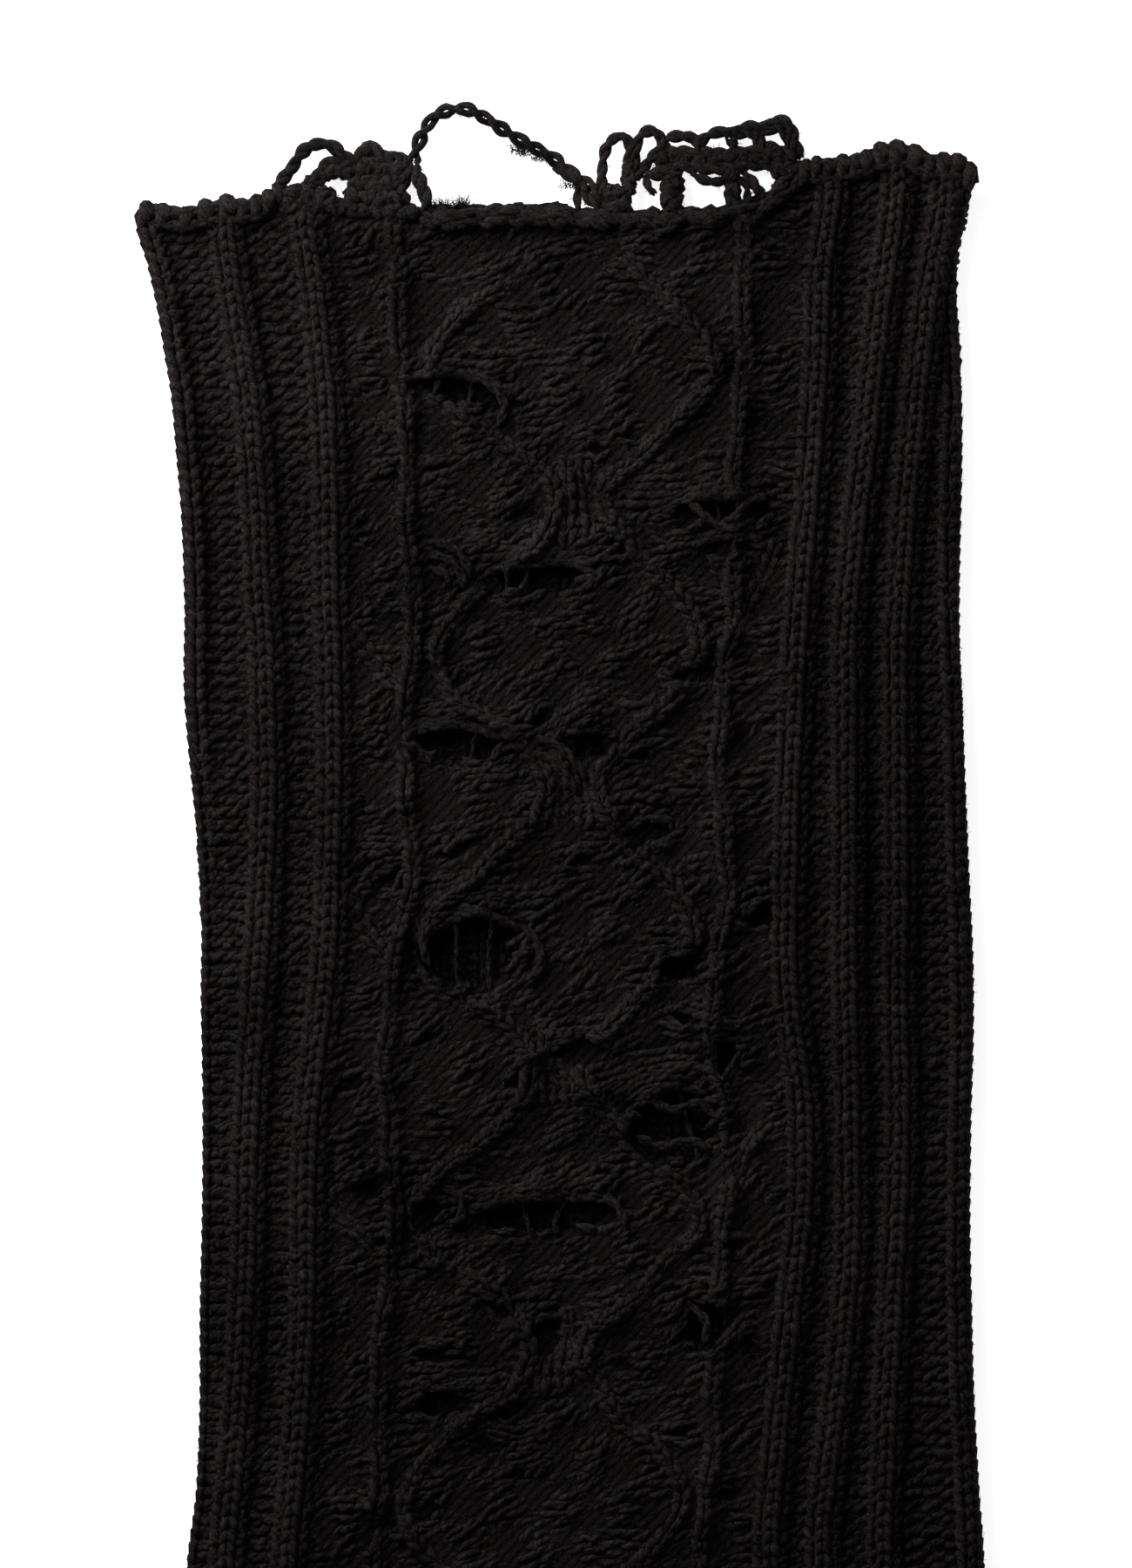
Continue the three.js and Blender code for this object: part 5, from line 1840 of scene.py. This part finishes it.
@dataclass
class Fuzz:
    """Fine fibres that stand off the yarn along the outline and over the face."""

    count: int = 1300
    loose: int = 800
    tuft: int = 34
    tuft_z: float = 5.2
    thickness: float = 0.05

    def build(self, lines: list[Array], material: bpy.types.Material) -> bpy.types.Object:
        """Builds the fibres.

        Args:
            lines: middles of the loose yarn that is fuzzy too.
            material: their finish.

        Returns:
            The new object.
        """
        rng = np.random.default_rng(SEED + 2)
        form = ring_form(3, 4)
        s = rng.uniform(24, 440, self.count)
        left, right = LEG.station("left", s), LEG.station("right", s)
        kind = rng.random(self.count)
        anywhere = rng.uniform(left + 1, right - 1)
        x = np.where(kind < 0.3, left + 0.4, np.where(kind < 0.6, right - 0.4, anywhere))
        z = np.where(kind < 0.6, rng.uniform(2.5, 6, self.count), LEG.height(x, s) - 0.1)
        angle = rng.uniform(0, 2 * np.pi, self.count)
        angle = np.where(kind < 0.3, np.pi + rng.normal(0, 0.8, self.count), angle)
        angle = np.where((kind >= 0.3) & (kind < 0.6), rng.normal(0, 0.8, self.count), angle)
        t = np.linspace(0, 1, 4)[None, :]

        def bent(x: Array, s: Array, z: Array, angle: Array, long: Array) -> Array:
            """Bends one fibre from each root.

            Args:
                x: the roots' x.
                s: the roots' s.
                z: the roots' z.
                angle: where each fibre points.
                long: how long each fibre is.

            Returns:
                Places along each fibre.
            """
            bend = angle[:, None] + rng.normal(0, 0.9, len(x))[:, None] * t
            px = x[:, None] + np.cos(bend) * long[:, None] * t
            ps = s[:, None] - np.sin(bend) * long[:, None] * t
            return np.stack([px, ps, z[:, None] + 0.5 * np.sin(np.pi * t * 0.8)], axis=-1)

        flat = bent(x, s, z, angle, rng.uniform(0.5, 1.5, self.count))
        px, ps = flat[..., 0], flat[..., 1]
        keep = (ps > LEG.front_top(px) + 2).all(axis=1) & (LEG.torn(px, ps) > 1.2).all(axis=1)
        bundle = YarnBundle()
        kept = flat[keep]
        paths = LEG.point(kept[..., 0], kept[..., 1], kept[..., 2])
        bundle.add(form, paths, self.thickness, rng.random(len(kept)))
        places = np.vstack(lines)
        roots = places[rng.integers(0, len(places), self.loose)]
        off = rng.normal(0, 0.7, (2, self.loose))
        x, s = roots[:, 0] + off[0], LEG.length / 2 - roots[:, 1] + off[1]
        angle = rng.uniform(0, 2 * np.pi, self.loose)
        flat = bent(x, s, roots[:, 2], angle, rng.uniform(0.6, 1.7, self.loose))
        tufts = np.repeat(np.array(TUFTS), self.tuft, axis=0)
        x = tufts[:, 0] + rng.normal(0, 0.9, len(tufts))
        s = tufts[:, 1] + 1.6 + rng.normal(0, 0.3, len(tufts))
        angle = np.pi / 2 + rng.normal(-0.2, 0.45, len(tufts))
        tall = rng.uniform(1.2, 3.0, len(tufts))
        flat = np.vstack([flat, bent(x, s, np.full(len(x), self.tuft_z), angle, tall)])
        paths = LEG.point(flat[..., 0], flat[..., 1], flat[..., 2])
        bundle.add(form, paths, self.thickness * 1.6, rng.random(len(paths)))
        return bundle.build("fibres", material)


@dataclass
class Studio:
    """The pale floor, the soft light and the camera straight above."""

    view_height: float = 0.342
    aim_x: float = 0.00095
    aim_s: float = 0.1486
    distance: float = 2.2
    sensor: float = 36.0
    around: float = 0.16
    key_place: tuple[float, float, float] = (-0.33, 0.44, 0.28)
    key_size: float = 0.48
    key_power: float = 5.2

    def floor(self) -> None:
        """Lays a broad pale floor."""
        deselect_all()
        bpy.ops.mesh.primitive_plane_add(size=1, location=(0, 0, 0))
        floor = bpy.context.object
        floor.name = "floor"
        floor.scale = (8, 8, 1)
        bpy.ops.object.transform_apply(location=True, rotation=True, scale=True)
        material = bpy.data.materials.new("pale_floor")
        material.use_nodes = True
        shader = material.node_tree.nodes["Principled BSDF"]
        shader.inputs["Base Color"].default_value = (0.9, 0.9, 0.9, 1)
        shader.inputs["Roughness"].default_value = 0.9
        shader.inputs["Specular IOR Level"].default_value = 0.1
        shader.inputs["Emission Color"].default_value = (1, 1, 1, 1)
        shader.inputs["Emission Strength"].default_value = 0.85
        floor.data.materials.append(material)

    def softbox(self, name: str, place: tuple[float, float, float], size: float, power: float) -> None:
        """Hangs one soft light that points at the leg warmer.

        Args:
            name: the light's name.
            place: where it hangs, in metres.
            size: its width, in metres.
            power: its power, in watts.
        """
        lamp = bpy.data.lights.new(name, "AREA")
        lamp.shape = "SQUARE"
        lamp.size = size
        lamp.energy = power
        light = bpy.data.objects.new(name, lamp)
        light.location = place
        aim = Vector((0, 0.06, 0)) - Vector(place)
        light.rotation_euler = aim.to_track_quat("-Z", "Y").to_euler()
        bpy.context.scene.collection.objects.link(light)

    def light(self) -> None:
        """Lights the scene: even light all round, and a stronger soft one from the upper left."""
        world = bpy.data.worlds.new("studio")
        world.use_nodes = True
        world.node_tree.nodes["Background"].inputs["Color"].default_value = (1, 1, 1, 1)
        world.node_tree.nodes["Background"].inputs["Strength"].default_value = self.around
        bpy.context.scene.world = world
        self.softbox("key", self.key_place, self.key_size, self.key_power)

    def camera(self) -> None:
        """Sets a long lens straight above, framed as the picture is."""
        data = bpy.data.cameras.new("camera")
        data.sensor_width = self.sensor
        data.sensor_fit = "AUTO"
        data.lens = self.sensor * self.distance / self.view_height
        data.clip_end = 20
        camera = bpy.data.objects.new("camera", data)
        camera.location = (self.aim_x, LEG.length / 2 * MM - self.aim_s, self.distance + 0.006)
        bpy.context.scene.collection.objects.link(camera)
        bpy.context.scene.camera = camera

    def build(self) -> None:
        """Makes the stage, the lights and the camera."""
        self.floor()
        self.light()
        self.camera()
        scene = bpy.context.scene
        scene.view_settings.view_transform = "Standard"


def beside(name: str, by: float) -> Callable[[Array], Array]:
    """Gives the line at a distance to the right of a rib, or to the left where it is under 0."""
    return lambda s: LEG.station(name, s) + by


class LegWarmer:
    """The whole leg warmer."""

    def __init__(self) -> None:
        """Makes the finishes."""
        self.wools = self.finishes()

    def finishes(self) -> dict[Slot, bpy.types.Material]:
        """Builds the finish of each slot.

        Returns:
            A material for each slot.
        """
        dark, light = (0.0024, 0.0019, 0.0020), (0.0370, 0.0303, 0.0310)
        ribs = Wool("rib_wool", dark, light)
        # The back's wool is a darker copy of the same wool: painted shade for the underside, the shell and
        # the ribs seen through the holes.
        back = Wool("back_wool", (0.0012, 0.0010, 0.0010), (0.0260, 0.0213, 0.0218))
        edge = Wool("edge_wool", dark, light)
        frayed = Wool("frayed_wool", dark, light, ply_bump=0.2, ply_painted_shade=0.1)
        made = {Slot.RIB: ribs, Slot.BACK: back, Slot.EDGE: edge, Slot.FRAYED: frayed}
        return {slot: wool.material() for slot, wool in made.items()}

    def troughs(self, stitches: Stitches) -> list[bpy.types.Object]:
        """Fills the troughs between the ribs with purl bumps.

        Args:
            stitches: lays the bumps.

        Returns:
            The new objects.
        """
        left, right = YarnBundle(), YarnBundle()

        def beside_fold(s: Array) -> Array:
            """x of the left trough's start, which widens where the rib rolls over the fold."""
            return LEG.station("left", s) + 4.4 - 2.2 * fade(128, 176, s)

        stitches.purl(left, beside_fold, beside("l1", -3.3), 3)
        stitches.purl(left, beside("l1", 3.3), beside("l2", -3.2), 3)
        stitches.purl(right, beside("r2", 3.2), beside("r1", -3.2), 2)
        stitches.purl(right, beside("r1", 3.2), beside("r0", -3.2), 2)
        stitches.purl(right, beside("r0", 3.2), beside("rf", -1.2), 3)
        finish = self.wools[Slot.RIB]
        return [left.build("purl_left", finish), right.build("purl_right", finish)]

    @staticmethod
    def panel_slope(x: Array, s: Array) -> Array:
        """Rise of the lace's strands to the right, in degrees."""
        return 15 - 9 * fade(0, 32, x) * (1 - fade(120, 170, s)) + 6 * np.sin(s * 0.11 + x * 0.06)

    def lace(self, stitches: Stitches) -> list[bpy.types.Object]:
        """Fills the lace panel and the open bands beside it.

        Args:
            stitches: lays the strands.

        Returns:
            The new objects.
        """
        panel, bands, ridges = YarnBundle(), YarnBundle(), YarnBundle()
        panel_lie = Lie(5.7, 3.35, 2.25, 5.0, self.panel_slope, 0.98)
        left_lie = Lie(5.0, 3.3, 2.2, 4.0, lambda x, s: 16 + 6 * np.sin(s * 0.3), 0.95)
        right_lie = Lie(7.0, 5.2, 2.2, 2.0, lambda x, s: 3 + 11 * fade(100, 140, s), 0.95)
        stitches.strands(panel, beside("l3", 1.8), beside("r3", -1.8), panel_lie)
        stitches.strands(bands, beside("l2", 3.5), beside("l3", -1.6), left_lie)
        stitches.strands(bands, beside("r3", 1.6), beside("r2", -3.5), right_lie)
        s = np.arange(34.0, 436.0, 1.0)
        for side in (-1, 1):
            stitches.wale(ridges, np.stack([LEG.ridge(s, side), s], axis=1), (0.5, 1.35), lift=0.5)
        for closed in np.arange(LEG.widest_at + LEG.repeat / 2, 430, LEG.repeat):
            down = np.arange(closed - 10, closed + 9, 1.0)
            for shift in (-2.15, 2.15):
                line = np.stack([LEG.middle(down) + shift, down], axis=1)
                stitches.wale(ridges, line, (0.45, 1.3), lift=0.5)
        for places in SLANTED_WALES:
            line = curve_through(np.array(places), 1.0)
            stitches.wale(ridges, line, (0.45, 1.25), lift=0.6)
        rng = stitches.rng
        for hole in HOLES[HOLES[:, 2] > 4]:
            self.rim(ridges, hole, rng)
        for places in LOOSE_YARN:
            line = curve_through(np.array(places), 0.55)
            z = LEG.height(line[:, 0], line[:, 1]) + 0.1 + 0.5 * np.sin(np.linspace(0, np.pi, len(line)))
            twisted(ridges, LEG.point(line[:, 0], line[:, 1], z), 0.95, rng)
        finish = self.wools[Slot.RIB]
        return [
            panel.build("lace_strands", finish),
            bands.build("band_strands", finish),
            ridges.build("lace_ridges", finish),
        ]

    @staticmethod
    def rim(bundle: YarnBundle, hole: Array, rng: np.random.Generator) -> None:
        """Lays loose and drooping yarn round one hole, and a strand or two over a wide one.

        Args:
            bundle: gathers them.
            hole: its row of the table.
            rng: gives the unevenness.
        """
        length, tall = hole[2], hole[3]
        wide, high = length / 2, tall / 2
        strands: list[tuple[Array, Array, float]] = []
        t = np.linspace(0, 1, 5)
        for k in range(1 + int(length > 8) + int(length > 16)):
            first = rng.uniform(-0.05, 0.3) + 0.35 * (k % 2)
            angle = np.pi * (1 - (first + rng.uniform(0.35, 0.6) * t))
            sag = rng.uniform(0.0, 0.3) * high * np.sin(np.pi * t)
            along, across = np.cos(angle) * wide * 1.1, sag - np.sin(angle) * high * 1.15
            strands.append((along, across, rng.uniform(0.95, 1.25)))
        for _ in range(int((length + tall) / 3.2)):
            angle = rng.uniform(0, 2 * np.pi)
            lean = rng.normal(0.25, 0.35)
            long = min(rng.uniform(3.2, 5.8), 0.5 * length) * (t - 0.5)
            out = rng.uniform(1.0, 1.2) if length > 12 else rng.uniform(1.3, 1.5)
            along = np.cos(angle) * wide * out + long * math.cos(lean)
            across = np.sin(angle) * high * out - long * math.sin(lean)
            strands.append((along, across, rng.uniform(0.85, 1.1)))
        for k in range(int(length > 12) + int(length > 20)):
            place = rng.uniform(-0.55, 0.55) * wide
            along = place + rng.normal(0, 0.4, 5) + rng.normal(0, 1.6) * t
            strands.append((along, (2 * t - 1) * high * 1.3, rng.uniform(0.5, 0.7)))
        for along, across, radius in strands:
            along, across = along + rng.normal(0, 0.2, 5), across + rng.normal(0, 0.15, 5)
            line = curve_through(np.stack(to_leg(hole, along, across), axis=1), 0.9)
            x, s = line[:, 0], line[:, 1]
            deep = 1.2 * np.clip(1.2 - LEG.torn(x, s), 0, 1)
            hump = 0.35 * np.sin(np.linspace(0, np.pi, len(line)))
            z = LEG.height(x, s) + LEG.relief(x, s) - 0.55 - deep + hump
            twisted(bundle, LEG.point(x, s, z), radius, rng, sides=5)

    def ribs(self, stitches: Stitches) -> list[bpy.types.Object]:
        """Lays the V stitches of the ribs and of the folds.

        Args:
            stitches: lays the wales.

        Returns:
            The new objects.
        """
        left, right, folds = YarnBundle(), YarnBundle(), YarnBundle()
        for rib in RIBS:
            stitches.rib(left if rib.name.startswith("l") else right, rib)
        for fold in ("left", "right"):
            stitches.side_wale(folds, fold, 0.6, 4.9, stitches.bump)
            stitches.side_wale(folds, fold, 0.8, 2.5, stitches.plain)
        finish = self.wools[Slot.RIB]
        return [
            left.build("ribs_left", finish),
            right.build("ribs_right", finish),
            folds.build("fold_stitches", finish),
        ]

    def build(self) -> None:
        """Builds every piece and reports it."""
        stitches = Stitches()
        on_cloth: list[bpy.types.Object] = []
        for piece in self.ribs(stitches) + self.troughs(stitches) + self.lace(stitches):
            on_cloth.append(Piece.settle(piece, Slot.RIB))
        for piece in Underside().build(stitches, self.wools[Slot.BACK]):
            on_cloth.append(Piece.settle(piece, Slot.BACK))
        back_beads = even_beads(-89.0, 87.0, LEG.back_top)
        for edge in (
            BoundEdge("bound_edge_left", "bind_off_left", 3.6, 9.2, BEADS_LEFT),
            BoundEdge("bound_edge_right", "bind_off_right", 3.6, 9.2, BEADS_RIGHT),
            BoundEdge("bound_edge_back", "bind_off_back", 0.1, 3.7, back_beads),
        ):
            piece = edge.build(stitches.rng, self.wools[Slot.EDGE])
            on_cloth.append(Piece.settle(piece, Slot.EDGE, edge.node))
        for hem in (Hem("hem_front", "cast_on_front", 3.8, 7.6), Hem("hem_back", "cast_on_back", 0.0, 3.6)):
            piece = hem.build(stitches, self.wools[Slot.EDGE])
            on_cloth.append(Piece.settle(piece, Slot.EDGE, hem.node))
        fringe = FrayedEdge()
        loops = fringe.build(self.wools[Slot.FRAYED])
        on_cloth.append(Piece.settle(loops, Slot.FRAYED, "frayed_edge"))
        on_cloth.append(Piece.settle(Fuzz().build(fringe.lines, self.wools[Slot.FRAYED]), Slot.FRAYED))
        cloth = Cloth().build(stitches.gaps, self.wools[Slot.BACK])
        Piece.settle(cloth, Slot.BACK, "front_panel", "back_panel")
        total = sum(len(piece.data.loop_triangles) for piece in [*on_cloth, cloth])
        LOG.info("all pieces: %d triangles", total)


def main() -> None:
    """Builds the leg warmer and its stage."""
    logging.basicConfig(level=logging.INFO, format="%(name)s %(message)s")
    Studio().build()
    LegWarmer().build()


if __name__ == "__main__":
    main()
